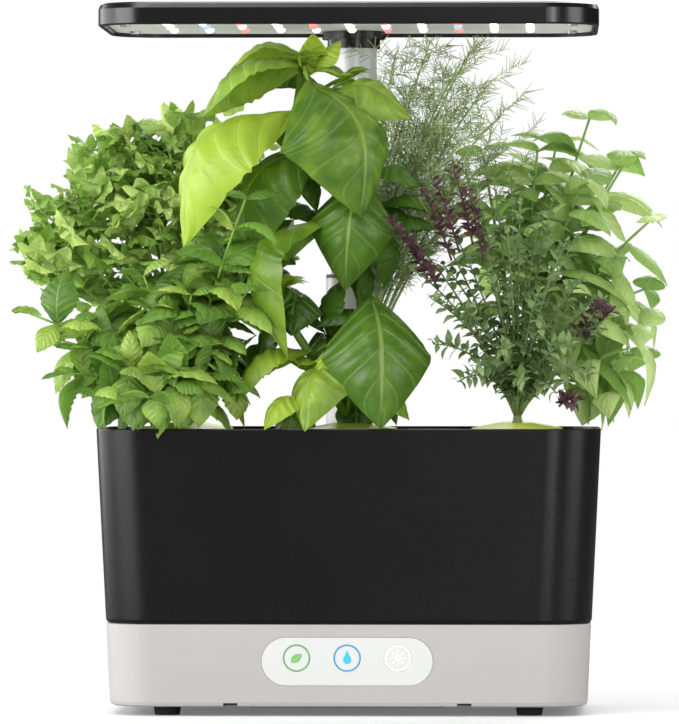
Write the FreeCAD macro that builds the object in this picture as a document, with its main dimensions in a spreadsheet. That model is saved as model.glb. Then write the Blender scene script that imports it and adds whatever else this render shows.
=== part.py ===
import FreeCAD, Part
import math
import os
import re

import Sketcher

# A countertop hydroponic garden. The origin is on the table under the middle of the base,
# +X is the viewer's right, +Y points to the rear and +Z is up. All sizes are millimetres.

SIZES = [
    ("foot_height", 5, "table to the lower edge of the base"),
    ("foot_radius", 7.5, "rubber foot where it meets the base"),
    ("foot_tip_radius", 6.6, "rubber foot at the table"),
    ("foot_inset_x", 32.5, "end of the base to a foot's centre"),
    ("foot_inset_y", 20, "front or rear of the base to a foot's centre"),
    ("base_length", 256.5, "base, left to right, at its top edge"),
    ("base_depth", 142, "base, front to rear"),
    ("base_height", 43.4, "base shell"),
    ("base_draft", 1.75, "how far each end leans in at the lower edge"),
    ("base_corner", 25, "base corner seen from above"),
    ("base_wall", 3, "base shell wall"),
    ("base_edge", 2.4, "rounding of the lower edge"),
    ("base_lip", 0.7, "rounding of the upper edge"),
    ("plate_thick", 2.5, "bottom plate"),
    ("plate_recess", 0.8, "lower edge of the base to the bottom plate"),
    ("plate_gap", 0.3, "bottom plate to the shell wall"),
    ("plate_lip_length", 102, "tongue along the front of the bottom plate"),
    ("plate_lip_drop", 1.2, "how far the tongue hangs below the plate"),
    ("vent_x", 61.5, "middle of the base to a vent notch"),
    ("vent_width", 7.5, "vent notch in the front lower edge"),
    ("vent_height", 2, "vent notch in the front lower edge"),
    ("screw_radius", 2.8, "screw head"),
    ("screw_head", 1.6, "screw head height"),
    ("screw_shank", 1.5, "screw shank radius"),
    ("plate_screw_inset_x", 60, "end of the base to a bottom screw"),
    ("plate_screw_inset_y", 22, "front or rear of the base to a bottom screw"),
    ("panel_length", 90, "control panel, end to end"),
    ("panel_height", 25.2, "control panel"),
    ("panel_thick", 1.2, "control panel"),
    ("panel_recess", 1, "recess that the panel lies in"),
    ("panel_up", 24, "lower edge of the base to the panel's middle"),
    ("icon_up", 25.8, "lower edge of the base to the buttons' middle"),
    ("icon_pitch", 26.6, "one button to the next"),
    ("icon_radius", 7, "button face"),
    ("button_gap", 0.2, "button to the hole round it"),
    ("button_collar", 8.4, "collar that keeps a button behind the wall"),
    ("button_collar_thick", 1, "collar that keeps a button behind the wall"),
    ("button_play", 0.3, "button collar to the wall"),
    ("button_stem", 2, "stem radius behind a button"),
    ("button_travel", 0.8, "how far a button goes in"),
    ("board_back", 9, "inner face of the front wall to the control board"),
    ("board_thick", 1.6, "all circuit boards"),
    ("control_board_length", 84, "board behind the panel"),
    ("control_board_height", 18, "board behind the panel"),
    ("switch_size", 6, "side of a tactile switch"),
    ("switch_depth", 3.5, "tactile switch, off the board"),
    ("board_boss", 3, "radius of the bosses that carry the boards"),
    ("inlet_inset_x", 50, "right end of the base to the power inlet"),
    ("inlet_up", 16, "lower edge of the base to the inlet's axis"),
    ("inlet_nose", 5.2, "inlet's round nose"),
    ("inlet_mouth", 3.1, "bore radius at the mouth"),
    ("inlet_mouth_depth", 4, "length of the mouth"),
    ("inlet_bore", 2.9, "bore radius behind the mouth"),
    ("inlet_bore_depth", 6, "length of the bore behind the mouth"),
    ("inlet_pin", 1, "centre pin radius"),
    ("inlet_pin_length", 5.5, "centre pin, from the bore's floor"),
    ("inlet_box", 14, "side of the inlet's body"),
    ("power_board_length", 96, "driver board"),
    ("power_board_depth", 52, "driver board"),
    ("power_board_left", 38, "middle of the base to the driver board's centre"),
    ("power_board_up", 6, "bottom plate to the driver board"),
    ("bowl_length", 267, "bowl at the rim, left to right"),
    ("bowl_depth", 152, "bowl at the rim, front to rear"),
    ("bowl_height", 102.9, "bowl, seat to rim"),
    ("bowl_draft", 4.75, "how far each side leans in at the seat"),
    ("bowl_corner", 28, "bowl corner at the rim"),
    ("bowl_edge", 2.2, "rounding of the bowl's lower edge"),
    ("bowl_rim_edge", 0.6, "rounding of the rim"),
    ("bowl_wall", 3.8, "wall below the ledge"),
    ("rim_wall", 2.2, "wall above the ledge"),
    ("bowl_floor", 3, "bowl floor"),
    ("deck_drop", 4.3, "rim to the deck's top"),
    ("deck_thick", 2.5, "grow deck"),
    ("deck_gap", 0.3, "grow deck to the bowl"),
    ("channel_radius", 17, "half the width of the channel for the post at the rear of the bowl"),
    ("channel_wall", 2.5, "wall of that channel"),
    ("channel_corner", 1.5, "corner of that channel"),
    ("pod_margin_x", 44.5, "rim's end to a side pod's centre"),
    ("pod_margin_front", 36, "front of the rim to the front side pods"),
    ("pod_margin_rear", 48, "rear of the rim to the rear side pods"),
    ("pod_front_middle", 33, "front of the rim to the front middle pod"),
    ("pod_rear_middle", 67, "rear of the rim to the rear middle pod"),
    ("basket_radius", 17.5, "basket under the deck"),
    ("basket_foot", 12.5, "basket at its lower end"),
    ("basket_height", 50, "basket below the deck's top"),
    ("basket_wall", 1.2, "basket wall"),
    ("basket_floor", 1.6, "basket floor"),
    ("basket_gap", 0.3, "basket to its hole"),
    ("collar_radius", 20.5, "basket collar on the deck"),
    ("collar_height", 4, "basket collar above the deck"),
    ("slot_width", 4, "slot in a basket"),
    ("slot_low", 8, "basket's lower end to a slot"),
    ("slot_high", 14, "slot's top to the deck's top"),
    ("sponge_gap", 0.3, "sponge to the basket wall"),
    ("sponge_drop", 2, "deck's top to the sponge's top"),
    ("label_radius", 24.5, "round label over a pod"),
    ("label_rise", 3.1, "rise of a label from its edge to its hole"),
    ("label_thick", 0.8, "label"),
    ("label_hole", 8, "hole for the stems"),
    ("port_length", 20, "fill port, left to right"),
    ("port_depth", 16, "fill port, front to rear"),
    ("port_margin_front", 26, "front of the rim to the fill port's centre"),
    ("flap_length", 25, "fill flap, left to right"),
    ("flap_depth", 21, "fill flap, front to rear"),
    ("flap_thick", 1.6, "fill flap"),
    ("flap_gap", 0.15, "fill flap to the deck"),
    ("hinge_radius", 1.8, "hinge barrel of the flap"),
    ("pin_radius", 0.8, "flap pin"),
    ("pin_gap", 0.08, "flap pin to the barrel"),
    ("ear_thick", 2, "ear that holds the flap pin"),
    ("ear_gap", 0.4, "ear to the barrel"),
    ("pump_x", 45, "middle of the bowl to the pump's centre"),
    ("pump_inset_y", 29, "rear of the rim to the pump's centre"),
    ("pump_length", 40, "pump, left to right"),
    ("pump_depth", 32, "pump, front to rear"),
    ("pump_height", 26, "pump housing"),
    ("pump_chamber", 12.5, "pump chamber radius"),
    ("pump_chamber_depth", 16, "pump chamber"),
    ("pump_cover_thick", 3, "pump cover"),
    ("outlet_radius", 4, "pump outlet pipe"),
    ("outlet_bore", 2.6, "pump outlet bore"),
    ("outlet_height", 14, "pump outlet pipe"),
    ("shaft_radius", 1.5, "impeller shaft"),
    ("shaft_gap", 0.1, "impeller to its shaft"),
    ("impeller_radius", 10.5, "impeller, over the blades"),
    ("impeller_hub", 4, "impeller hub"),
    ("impeller_height", 10, "impeller"),
    ("impeller_lift", 2, "chamber floor to the impeller"),
    ("blade_thick", 1.2, "impeller blade"),
    ("blade_count", 6, "impeller blades"),
    ("filter_thick", 4, "filter foam on the pump's front"),
    ("contact_radius", 4, "contact plate under the pump"),
    ("contact_pin", 2, "spring contact in the base"),
    ("contact_pitch", 16, "one contact to the next"),
    ("hole_gap", 0.2, "contacts and inlet to the holes round them"),
    ("float_inset_y", 25, "rear of the rim to the float's axis"),
    ("float_x", 44, "middle of the bowl to the float's axis"),
    ("float_radius", 11, "float"),
    ("float_height", 14, "float"),
    ("float_gap", 0.4, "float to its guide"),
    ("float_guide_radius", 2.5, "guide rod of the float"),
    ("float_travel", 50, "rise of the float"),
    ("post_inset", 25, "rear of the rim to the post's axis"),
    ("post_radius", 12.45, "moving post"),
    ("post_wall", 1.8, "moving post"),
    ("post_overlap", 115, "moving post inside the sleeve, lamp down"),
    ("post_gap", 0.15, "moving post to its bush"),
    ("sleeve_radius", 15, "fixed sleeve"),
    ("sleeve_wall", 1.4, "fixed sleeve"),
    ("sleeve_top", 232, "table to the sleeve's top"),
    ("sleeve_foot_radius", 16.6, "flange under the sleeve"),
    ("sleeve_foot_thick", 3, "flange under the sleeve"),
    ("bush_length", 24, "bush inside the sleeve"),
    ("bush_flange", 2, "bush flange on the sleeve"),
    ("hood_length", 265, "lamp hood, left to right"),
    ("hood_depth", 150, "lamp hood, front to rear"),
    ("hood_height", 12, "lamp hood"),
    ("hood_corner", 28, "lamp hood corner seen from above"),
    ("hood_edge", 3.2, "rounding of the hood's upper edge"),
    ("hood_lip", 0.8, "rounding of the hood's lower edge"),
    ("hood_wall", 3, "lamp hood wall"),
    ("hood_bottom", 364, "table to the hood's lower edge, lamp down"),
    ("hood_rear_reach", 24, "post's axis to the hood's rear"),
    ("panel_up_in_hood", 2, "hood's lower edge to the white panel"),
    ("light_panel_thick", 1.6, "white panel"),
    ("panel_clear", 0.3, "white panel to the hood"),
    ("led_board_inset", 12, "hood's edge to the lamp board"),
    ("led_radius", 2.25, "clear dome of a lamp"),
    ("led_drop", 2.1, "dome below the white panel"),
    ("led_pitch", 19.2, "one lamp to the next, left to right"),
    ("led_front_inset", 18, "hood's front to the first row of lamps"),
    ("led_row_pitch", 38, "one row of lamps to the next"),
    ("hood_screw_inset_x", 14, "hood's end to a hood screw"),
    ("hood_screw_inset_y", 34, "hood's front or rear to a hood screw"),
    ("flange_radius", 17.2, "collar flange under the white panel"),
    ("flange_thick", 4.3, "collar flange under the white panel"),
    ("ring_radius", 14.3, "collar ring under the flange"),
    ("ring_height", 5, "collar ring under the flange"),
    ("leaf_thick", 1.2, "leaf blade"),
    ("leaf_clear", 3, "lowest leaves above the crown"),
    ("crown_radius", 5, "bundle of stems in a label's hole"),
    ("crown_height", 7, "basket collar to the crown's top"),
]

document = FreeCAD.newDocument("HydroponicGarden")
sheet = document.addObject("Spreadsheet::Sheet", "Sizes")
for row, (alias, number, meaning) in enumerate(SIZES, start=1):
    sheet.set(f"A{row}", meaning)
    sheet.set(f"B{row}", str(number))
    sheet.setAlias(f"B{row}", alias)
document.recompute()

SIZE_WORD = re.compile(r"\b(" + "|".join(entry[0] for entry in SIZES) + r")\b")

# Heights and places that several pieces share, as formulas of the sheet's sizes.
BASE_TOP = "(foot_height + base_height)"
BASE_FRONT = "(-base_depth / 2)"
PLATE_BOTTOM = "(foot_height + plate_recess)"
PLATE_TOP = "(foot_height + plate_recess + plate_thick)"
RIM = "(foot_height + base_height + bowl_height)"
DECK_TOP = f"({RIM} - deck_drop)"
LEDGE = f"({DECK_TOP} - deck_thick)"
TANK_FLOOR = f"({BASE_TOP} + bowl_floor)"
ICON_Z = "(foot_height + icon_up)"
PANEL_Z = "(foot_height + panel_up)"
POST_Y = "(bowl_depth / 2 - post_inset)"
HOOD_Y = f"({POST_Y} + hood_rear_reach - hood_depth / 2)"
HOOD_TOP = "(hood_bottom + hood_height)"
PANEL_UNDER = "(hood_bottom + panel_up_in_hood)"
POD_X = "(bowl_length / 2 - pod_margin_x)"
PODS = [
    (f"(-{POD_X})", "(-bowl_depth / 2 + pod_margin_front)"),
    ("0", "(-bowl_depth / 2 + pod_front_middle)"),
    (POD_X, "(-bowl_depth / 2 + pod_margin_front)"),
    (f"(-{POD_X})", "(bowl_depth / 2 - pod_margin_rear)"),
    ("0", "(bowl_depth / 2 - pod_rear_middle)"),
    (POD_X, "(bowl_depth / 2 - pod_margin_rear)"),
]
PORT_X = f"({POD_X} / 2)"
PORT_Y = "(-bowl_depth / 2 + port_margin_front)"
PUMP_X = "(-pump_x)"
PUMP_Y = "(bowl_depth / 2 - pump_inset_y)"
FLOAT_Y = "(bowl_depth / 2 - float_inset_y)"
INLET_X = "(base_length / 2 - inlet_inset_x)"
INLET_Z = "(foot_height + inlet_up)"

sub_parts = []


def in_cells(formula):
    return SIZE_WORD.sub(r"Sizes.\1", str(formula))


def size(formula):
    found = sheet.evalExpression(in_cells(formula))
    return float(getattr(found, "Value", found))


def bind(thing, path, formula):
    thing.setExpression(path, in_cells(formula))


def place(thing, x, y, z):
    bind(thing, "Placement.Base.x", x)
    bind(thing, "Placement.Base.y", y)
    bind(thing, "Placement.Base.z", z)


def sub_part(thing, label):
    thing.Label = label
    sub_parts.append(thing)
    return thing


# Plain solids with bound sizes.


TURNS = {
    "X": FreeCAD.Rotation(FreeCAD.Vector(0, 1, 0), 90),
    "Y": FreeCAD.Rotation(FreeCAD.Vector(1, 0, 0), -90),
    "Z": FreeCAD.Rotation(),
}


def cylinder(name, radius, height, x="0", y="0", z="0", along="Z"):
    thing = document.addObject("Part::Cylinder", name)
    bind(thing, "Radius", radius)
    bind(thing, "Height", height)
    thing.Placement.Rotation = TURNS[along]
    place(thing, x, y, z)
    return thing


def closed_solid(faces):
    """The solid inside plane faces, each given as its corners in order."""
    shell = Part.makeShell([Part.Face(Part.makePolygon([*face, face[0]])) for face in faces])
    shell.sewShape()
    solid = Part.makeSolid(shell)
    if solid.Volume < 0:
        solid.reverse()
    return solid


def taper(name, sides, x, y, *levels):
    """A solid with plane sides through rings of corners, each given as (height, radius)."""
    rings = []
    for height, radius in levels:
        turns = [2 * math.pi * side / sides for side in range(sides)]
        reach = size(radius)
        rings.append([FreeCAD.Vector(reach * math.cos(a), reach * math.sin(a), size(height)) for a in turns])
    faces = [rings[0], rings[-1]]
    for lower, upper in zip(rings, rings[1:]):
        for side in range(sides):
            following = (side + 1) % sides
            faces.append([lower[side], lower[following], upper[following], upper[side]])
    thing = document.addObject("Part::Feature", name)
    thing.Shape = closed_solid(faces)
    place(thing, x, y, "0")
    return thing


def block(name, length, depth, height, x="0", y="0", z="0"):
    """A box centred on x and y, standing on z."""
    thing = document.addObject("Part::Box", name)
    bind(thing, "Length", length)
    bind(thing, "Width", depth)
    bind(thing, "Height", height)
    place(thing, f"{x} - ({length}) / 2", f"{y} - ({depth}) / 2", z)
    return thing


def fuse(name, *pieces):
    thing = document.addObject("Part::MultiFuse", name)
    thing.Shapes = list(pieces)
    return thing


def cut(name, base, *tools):
    tool = tools[0] if len(tools) == 1 else fuse(f"{name}_tools", *tools)
    thing = document.addObject("Part::Cut", name)
    thing.Base = base
    thing.Tool = tool
    return thing


def group(name, pieces):
    thing = document.addObject("Part::Compound", name)
    thing.Links = list(pieces)
    return thing


# Sketches and features of a moulded body.


def new_body(name):
    return document.addObject("PartDesign::Body", name)


def sketch_on(body, name, plane="XY_Plane", x="0", y="0", z="0"):
    sketch = body.newObject("Sketcher::SketchObject", name)
    support = next(f for f in body.Origin.OriginFeatures if f.Role == plane)
    sketch.AttachmentSupport = [(support, "")]
    sketch.MapMode = "FlatFace"
    bind(sketch, "AttachmentOffset.Base.x", x)
    bind(sketch, "AttachmentOffset.Base.y", y)
    bind(sketch, "AttachmentOffset.Base.z", z)
    return sketch


def constrain(sketch, constraint, formula=None):
    index = sketch.addConstraint(constraint)
    if formula is not None:
        bind(sketch, f"Constraints[{index}]", formula)


def draw_rectangle(sketch, length, depth):
    half_x = size(length) / 2
    half_y = size(depth) / 2
    corners = [(-half_x, -half_y), (half_x, -half_y), (half_x, half_y), (-half_x, half_y)]
    points = [FreeCAD.Vector(x, y, 0) for x, y in corners]
    for start, end in zip(points, points[1:] + points[:1]):
        sketch.addGeometry(Part.LineSegment(start, end), False)
    for line in range(4):
        constrain(sketch, Sketcher.Constraint("Coincident", line, 2, (line + 1) % 4, 1))
    for line in (0, 2):
        constrain(sketch, Sketcher.Constraint("Horizontal", line))
        constrain(sketch, Sketcher.Constraint("Vertical", line + 1))
    constrain(sketch, Sketcher.Constraint("Symmetric", 0, 1, 1, 2, -1, 1))
    constrain(sketch, Sketcher.Constraint("DistanceX", 0, 1, 0, 2, 2 * half_x), length)
    constrain(sketch, Sketcher.Constraint("DistanceY", 1, 1, 1, 2, 2 * half_y), depth)


def draw_rounded_rectangle(sketch, length, depth, corner):
    half_x = size(length) / 2
    half_y = size(depth) / 2
    radius = size(corner)
    inner_x = half_x - radius
    inner_y = half_y - radius
    sides = [
        ((-inner_x, -half_y), (inner_x, -half_y)),
        ((half_x, -inner_y), (half_x, inner_y)),
        ((inner_x, half_y), (-inner_x, half_y)),
        ((-half_x, inner_y), (-half_x, -inner_y)),
    ]
    for start, end in sides:
        line = Part.LineSegment(FreeCAD.Vector(*start, 0), FreeCAD.Vector(*end, 0))
        sketch.addGeometry(line, False)
    centres = [(inner_x, -inner_y), (inner_x, inner_y), (-inner_x, inner_y), (-inner_x, -inner_y)]
    up = FreeCAD.Vector(0, 0, 1)
    for turn, (x, y) in enumerate(centres):
        circle = Part.Circle(FreeCAD.Vector(x, y, 0), up, radius)
        first = (turn - 1) * math.pi / 2
        sketch.addGeometry(Part.ArcOfCircle(circle, first, first + math.pi / 2), False)
    for side in range(4):
        arc = 4 + side
        constrain(sketch, Sketcher.Constraint("Tangent", side, 2, arc, 1))
        constrain(sketch, Sketcher.Constraint("Tangent", arc, 2, (side + 1) % 4, 1))
    for side in (0, 2):
        constrain(sketch, Sketcher.Constraint("Horizontal", side))
        constrain(sketch, Sketcher.Constraint("Vertical", side + 1))
    for arc in (5, 6, 7):
        constrain(sketch, Sketcher.Constraint("Equal", 4, arc))
    constrain(sketch, Sketcher.Constraint("Symmetric", 0, 1, 2, 1, -1, 1))
    constrain(sketch, Sketcher.Constraint("Radius", 4, radius), corner)
    constrain(sketch, Sketcher.Constraint("DistanceX", 3, 1, 1, 1, 2 * half_x), length)
    constrain(sketch, Sketcher.Constraint("DistanceY", 0, 1, 2, 1, 2 * half_y), depth)


def draw_stadium(sketch, length, height):
    radius = size(height) / 2
    reach = size(length) / 2 - radius
    for side in (-1, 1):
        line = Part.LineSegment(
            FreeCAD.Vector(side * reach, side * radius, 0),
            FreeCAD.Vector(-side * reach, side * radius, 0),
        )
        sketch.addGeometry(line, False)
    for side in (1, -1):
        circle = Part.Circle(FreeCAD.Vector(side * reach, 0, 0), FreeCAD.Vector(0, 0, 1), radius)
        first = -side * math.pi / 2
        sketch.addGeometry(Part.ArcOfCircle(circle, first, first + math.pi), False)
    for line, arc, following in ((0, 2, 1), (1, 3, 0)):
        constrain(sketch, Sketcher.Constraint("Tangent", line, 2, arc, 1))
        constrain(sketch, Sketcher.Constraint("Tangent", arc, 2, following, 1))
    constrain(sketch, Sketcher.Constraint("Horizontal", 0))
    constrain(sketch, Sketcher.Constraint("Equal", 2, 3))
    constrain(sketch, Sketcher.Constraint("Symmetric", 2, 3, 3, 3, -1, 1))
    constrain(sketch, Sketcher.Constraint("Radius", 2, radius), f"({height}) / 2")
    span = f"({length}) - ({height})"
    constrain(sketch, Sketcher.Constraint("DistanceX", 3, 3, 2, 3, 2 * reach), span)


def draw_circle(sketch, radius):
    circle = Part.Circle(FreeCAD.Vector(0, 0, 0), FreeCAD.Vector(0, 0, 1), size(radius))
    sketch.addGeometry(circle, False)
    constrain(sketch, Sketcher.Constraint("Coincident", 0, 3, -1, 1))
    constrain(sketch, Sketcher.Constraint("Radius", 0, size(radius)), radius)


def pad(body, sketch, length, reversed_way=False):
    feature = body.newObject("PartDesign::Pad", f"{sketch.Name}_pad")
    feature.Profile = sketch
    feature.Reversed = reversed_way
    bind(feature, "Length", length)
    sketch.Visibility = False
    return feature


def pocket(body, sketch, length, reversed_way=False):
    feature = body.newObject("PartDesign::Pocket", f"{sketch.Name}_pocket")
    feature.Profile = sketch
    feature.Reversed = reversed_way
    bind(feature, "Length", length)
    return feature


def loft(body, kind, name, *sections, y="0"):
    """A ruled loft through rounded rectangles, each given as (z, length, depth, corner)."""
    ends = []
    for number, (z, length, depth, corner) in enumerate(sections, start=1):
        sketch = sketch_on(body, f"{name}_{number}", y=y, z=z)
        draw_rounded_rectangle(sketch, length, depth, corner)
        ends.append(sketch)
    feature = body.newObject(f"PartDesign::{kind}", name)
    feature.Profile = ends[0]
    feature.Sections = ends[1:]
    feature.Ruled = True
    return feature


def rolled_sections(lower, upper, lower_edge, upper_edge):
    """Sections of a drafted block whose lower and upper edges are rolled in two steps."""
    step = "(1 - sqrt(0.5))"
    sections = []
    for (z, length, depth, corner), edge, way in ((lower, lower_edge, 1), (upper, upper_edge, -1)):
        rolled = []
        for height, inset in (("0", edge), (f"{step} * {edge}", f"{step} * {edge}"), (edge, "0")):
            rolled.append(
                (
                    f"{z} + {way} * {height}",
                    f"{length} - 2 * {inset}",
                    f"{depth} - 2 * {inset}",
                    f"{corner} - {inset}",
                )
            )
        sections += rolled[::way]
    return sections


# The base.


def make_base_shell():
    """Stone-grey moulding, open below, with the panel recess, vents, inlet and post holes."""
    body = new_body("BaseShell")
    low_length = "base_length - 2 * base_draft"
    outside = rolled_sections(
        ("foot_height", low_length, "base_depth", "base_corner"),
        (BASE_TOP, "base_length", "base_depth", "base_corner"),
        "base_edge",
        "base_lip",
    )
    loft(body, "AdditiveLoft", "base_outside", *outside)
    loft(
        body,
        "SubtractiveLoft",
        "base_inside",
        (
            "foot_height",
            f"{low_length} - 2 * base_wall",
            "base_depth - 2 * base_wall",
            "base_corner - base_wall",
        ),
        (
            f"{BASE_TOP} - base_wall",
            "base_length - 2 * base_wall",
            "base_depth - 2 * base_wall",
            "base_corner - base_wall",
        ),
    )
    front = f"-({BASE_FRONT})"
    recess = sketch_on(body, "panel_recess_outline", "XZ_Plane", y=PANEL_Z, z=front)
    draw_stadium(recess, "panel_length + 2 * button_gap", "panel_height + 2 * button_gap")
    pocket(body, recess, "panel_recess")
    for number in (-1, 0, 1):
        hole = sketch_on(
            body, f"button_hole_{number + 2}", "XZ_Plane", f"{number} * icon_pitch", ICON_Z, front
        )
        draw_circle(hole, "icon_radius + button_gap")
        pocket(body, hole, "base_wall")
    for side in (-1, 1):
        boss = sketch_on(
            body,
            f"board_boss_{side + 2}",
            "XZ_Plane",
            f"{side} * (control_board_length / 2 - board_boss)",
            ICON_Z,
            f"{front} - base_wall",
        )
        draw_circle(boss, "board_boss")
        pad(body, boss, "board_back", reversed_way=True)
        vent = sketch_on(
            body,
            f"vent_{side + 2}",
            "XZ_Plane",
            f"{side} * vent_x",
            "foot_height + vent_height / 2",
            front,
        )
        draw_rectangle(vent, "vent_width", "vent_height")
        pocket(body, vent, "base_wall")
    post_hole = sketch_on(body, "post_hole", y=POST_Y, z=BASE_TOP)
    draw_circle(post_hole, "sleeve_radius + hole_gap")
    pocket(body, post_hole, "base_wall")
    for side in (-1, 1):
        contact = sketch_on(
            body, f"contact_hole_{side + 2}", x=f"{PUMP_X} + {side} * contact_pitch / 2", y=PUMP_Y, z=BASE_TOP
        )
        draw_circle(contact, "contact_pin + hole_gap")
        pocket(body, contact, "base_wall")
    inlet = sketch_on(body, "inlet_hole", "XZ_Plane", INLET_X, INLET_Z, "-(base_depth / 2 - base_wall)")
    draw_circle(inlet, "inlet_nose + hole_gap")
    pocket(body, inlet, "base_wall")
    return sub_part(body, "base_shell")


def make_bottom_plate():
    """Flat plate inside the shell's lower edge, with bosses that carry the driver board."""
    body = new_body("BottomPlate")
    inset = "2 * (base_wall + plate_gap)"
    outline = sketch_on(body, "plate_outline", z=PLATE_BOTTOM)
    draw_rounded_rectangle(
        outline,
        f"base_length - 2 * base_draft - {inset}",
        f"base_depth - {inset}",
        "base_corner - base_wall - plate_gap",
    )
    pad(body, outline, "plate_thick")
    tongue_y = f"{BASE_FRONT} + base_wall + plate_gap + base_wall"
    tongue = sketch_on(body, "plate_tongue", y=tongue_y, z=PLATE_BOTTOM)
    draw_rectangle(tongue, "plate_lip_length", "base_wall")
    pad(body, tongue, "plate_lip_drop", reversed_way=True)
    for number, (side, row) in enumerate(((-1, -1), (-1, 1), (1, -1), (1, 1))):
        boss = sketch_on(
            body,
            f"plate_boss_{number + 1}",
            x=f"-power_board_left + {side} * (power_board_length / 2 - board_boss)",
            y=f"{row} * (power_board_depth / 2 - board_boss)",
            z=PLATE_TOP,
        )
        draw_circle(boss, "board_boss")
        pad(body, boss, "power_board_up")
    places = four_places("plate_screw_inset_x", "plate_screw_inset_y", "base_length", "base_depth")
    bore_screw_holes(body, "plate_screw_hole", places, PLATE_TOP, "plate_thick")
    return sub_part(body, "bottom_plate")


def bore_screw_holes(body, name, places, top, depth):
    for number, (x, y) in enumerate(places, start=1):
        hole = sketch_on(body, f"{name}_{number}", x=x, y=y, z=top)
        draw_circle(hole, "screw_shank + hole_gap")
        pocket(body, hole, depth)


def four_places(inset_x, inset_y, length, depth, middle_y="0"):
    """The x and y formulas of four like pieces, inset from the corners of a plan."""
    places = []
    for side in (-1, 1):
        for row in (-1, 1):
            x = f"{side} * ({length} / 2 - {inset_x})"
            y = f"({middle_y} + {row} * ({depth} / 2 - {inset_y}))"
            places.append((x, y))
    return places


def make_feet():
    """Four tapered rubber feet under the bottom plate."""
    feet = []
    levels = (("0", "foot_tip_radius"), ("foot_height + plate_recess", "foot_radius"))
    places = four_places("foot_inset_x", "foot_inset_y", "base_length", "base_depth")
    for number, (x, y) in enumerate(places, start=1):
        feet.append(taper(f"Foot{number}", 32, x, y, *levels))
    return sub_part(group("Feet", feet), "feet")


def make_screws(name, label, places, under, shank):
    """Pan-head screws seen from below, each head against the plate that it holds."""
    screws = []
    low = f"{under} - screw_head"
    for number, (x, y) in enumerate(places, start=1):
        head = taper(f"{name}Head{number}", 16, x, y, (low, "screw_radius"), (under, "screw_radius"))
        core = taper(
            f"{name}Core{number}", 12, x, y, (low, "screw_shank"), (f"{under} + {shank}", "screw_shank")
        )
        screws.append(fuse(f"{name}{number}", head, core))
    return sub_part(group(name, screws), label)


def make_control_overlay():
    """Pale stadium panel with three round windows."""
    body = new_body("ControlOverlay")
    back = f"-({BASE_FRONT} + panel_recess)"
    outline = sketch_on(body, "overlay_outline", "XZ_Plane", y=PANEL_Z, z=back)
    draw_stadium(outline, "panel_length", "panel_height")
    pad(body, outline, "panel_thick")
    for number in (-1, 0, 1):
        hole = sketch_on(
            body,
            f"window_{number + 2}",
            "XZ_Plane",
            f"{number} * icon_pitch",
            ICON_Z,
            f"{back} + panel_thick",
        )
        draw_circle(hole, "icon_radius + button_gap")
        pocket(body, hole, "panel_thick")
    return sub_part(body, "control_overlay")


def make_icon_disc(label, number, play, stem):
    """A button or the fixed lens: a round face, the collar behind the wall and a stem."""
    x = f"{number} * icon_pitch"
    front = f"({BASE_FRONT} + panel_recess - panel_thick)"
    inner = f"({BASE_FRONT} + base_wall + {play})"
    face = cylinder(f"{label}_face", "icon_radius", f"{inner} - {front}", x, front, ICON_Z, "Y")
    collar = cylinder(f"{label}_collar", "button_collar", "button_collar_thick", x, inner, ICON_Z, "Y")
    pieces = [face, collar]
    if stem:
        reach = "board_back - switch_depth - button_travel - button_gap - button_play"
        pieces.append(cylinder(f"{label}_stem", "button_stem", reach, x, inner, ICON_Z, "Y"))
    return sub_part(fuse(f"{label}_whole", *pieces), label)


def make_control_board():
    """Board behind the panel, its two switches and three indicator lamps."""
    front = f"({BASE_FRONT} + base_wall + board_back)"
    low = f"{ICON_Z} - control_board_height / 2"
    middle = f"{front} + board_thick / 2"
    board = block(
        "ControlBoard", "control_board_length", "board_thick", "control_board_height", "0", middle, low
    )
    sub_part(board, "control_board")
    switches = []
    lamps = []
    for number in (-1, 1):
        switch_y = f"{front} - switch_depth / 2"
        switch_z = f"{ICON_Z} - switch_size / 2"
        x = f"{number} * icon_pitch"
        switches.append(
            block(f"Switch{number + 2}", "switch_size", "switch_depth", "switch_size", x, switch_y, switch_z)
        )
    sub_part(group("Switches", switches), "switches")
    for number in (-1, 0, 1):
        x = f"{number} * icon_pitch"
        z = f"{ICON_Z} - switch_size"
        lamps.append(
            cylinder(f"Indicator{number + 2}", "screw_shank", "board_thick", x, f"{front} - board_thick", z, "Y"),
        )
    sub_part(group("Indicators", lamps), "indicator_leds")


def make_power_board():
    """Driver board with its coil and two capacitors."""
    low = f"({PLATE_TOP} + power_board_up)"
    top = f"({low} + board_thick)"
    x = "-power_board_left"
    board = block("PowerBoard", "power_board_length", "power_board_depth", "board_thick", x, "0", low)
    coil = block("PowerCoil", "2 * inlet_box", "2 * inlet_box", "inlet_box", f"{x} - inlet_box", "0", top)
    first = cylinder("CapacitorA", "inlet_nose", "inlet_box", f"{x} + inlet_box", "-inlet_box / 2", top)
    second = cylinder("CapacitorB", "inlet_nose", "inlet_box", f"{x} + inlet_box", "inlet_box / 2", top)
    return sub_part(fuse("PowerBoardWhole", board, coil, first, second), "power_board")


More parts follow.
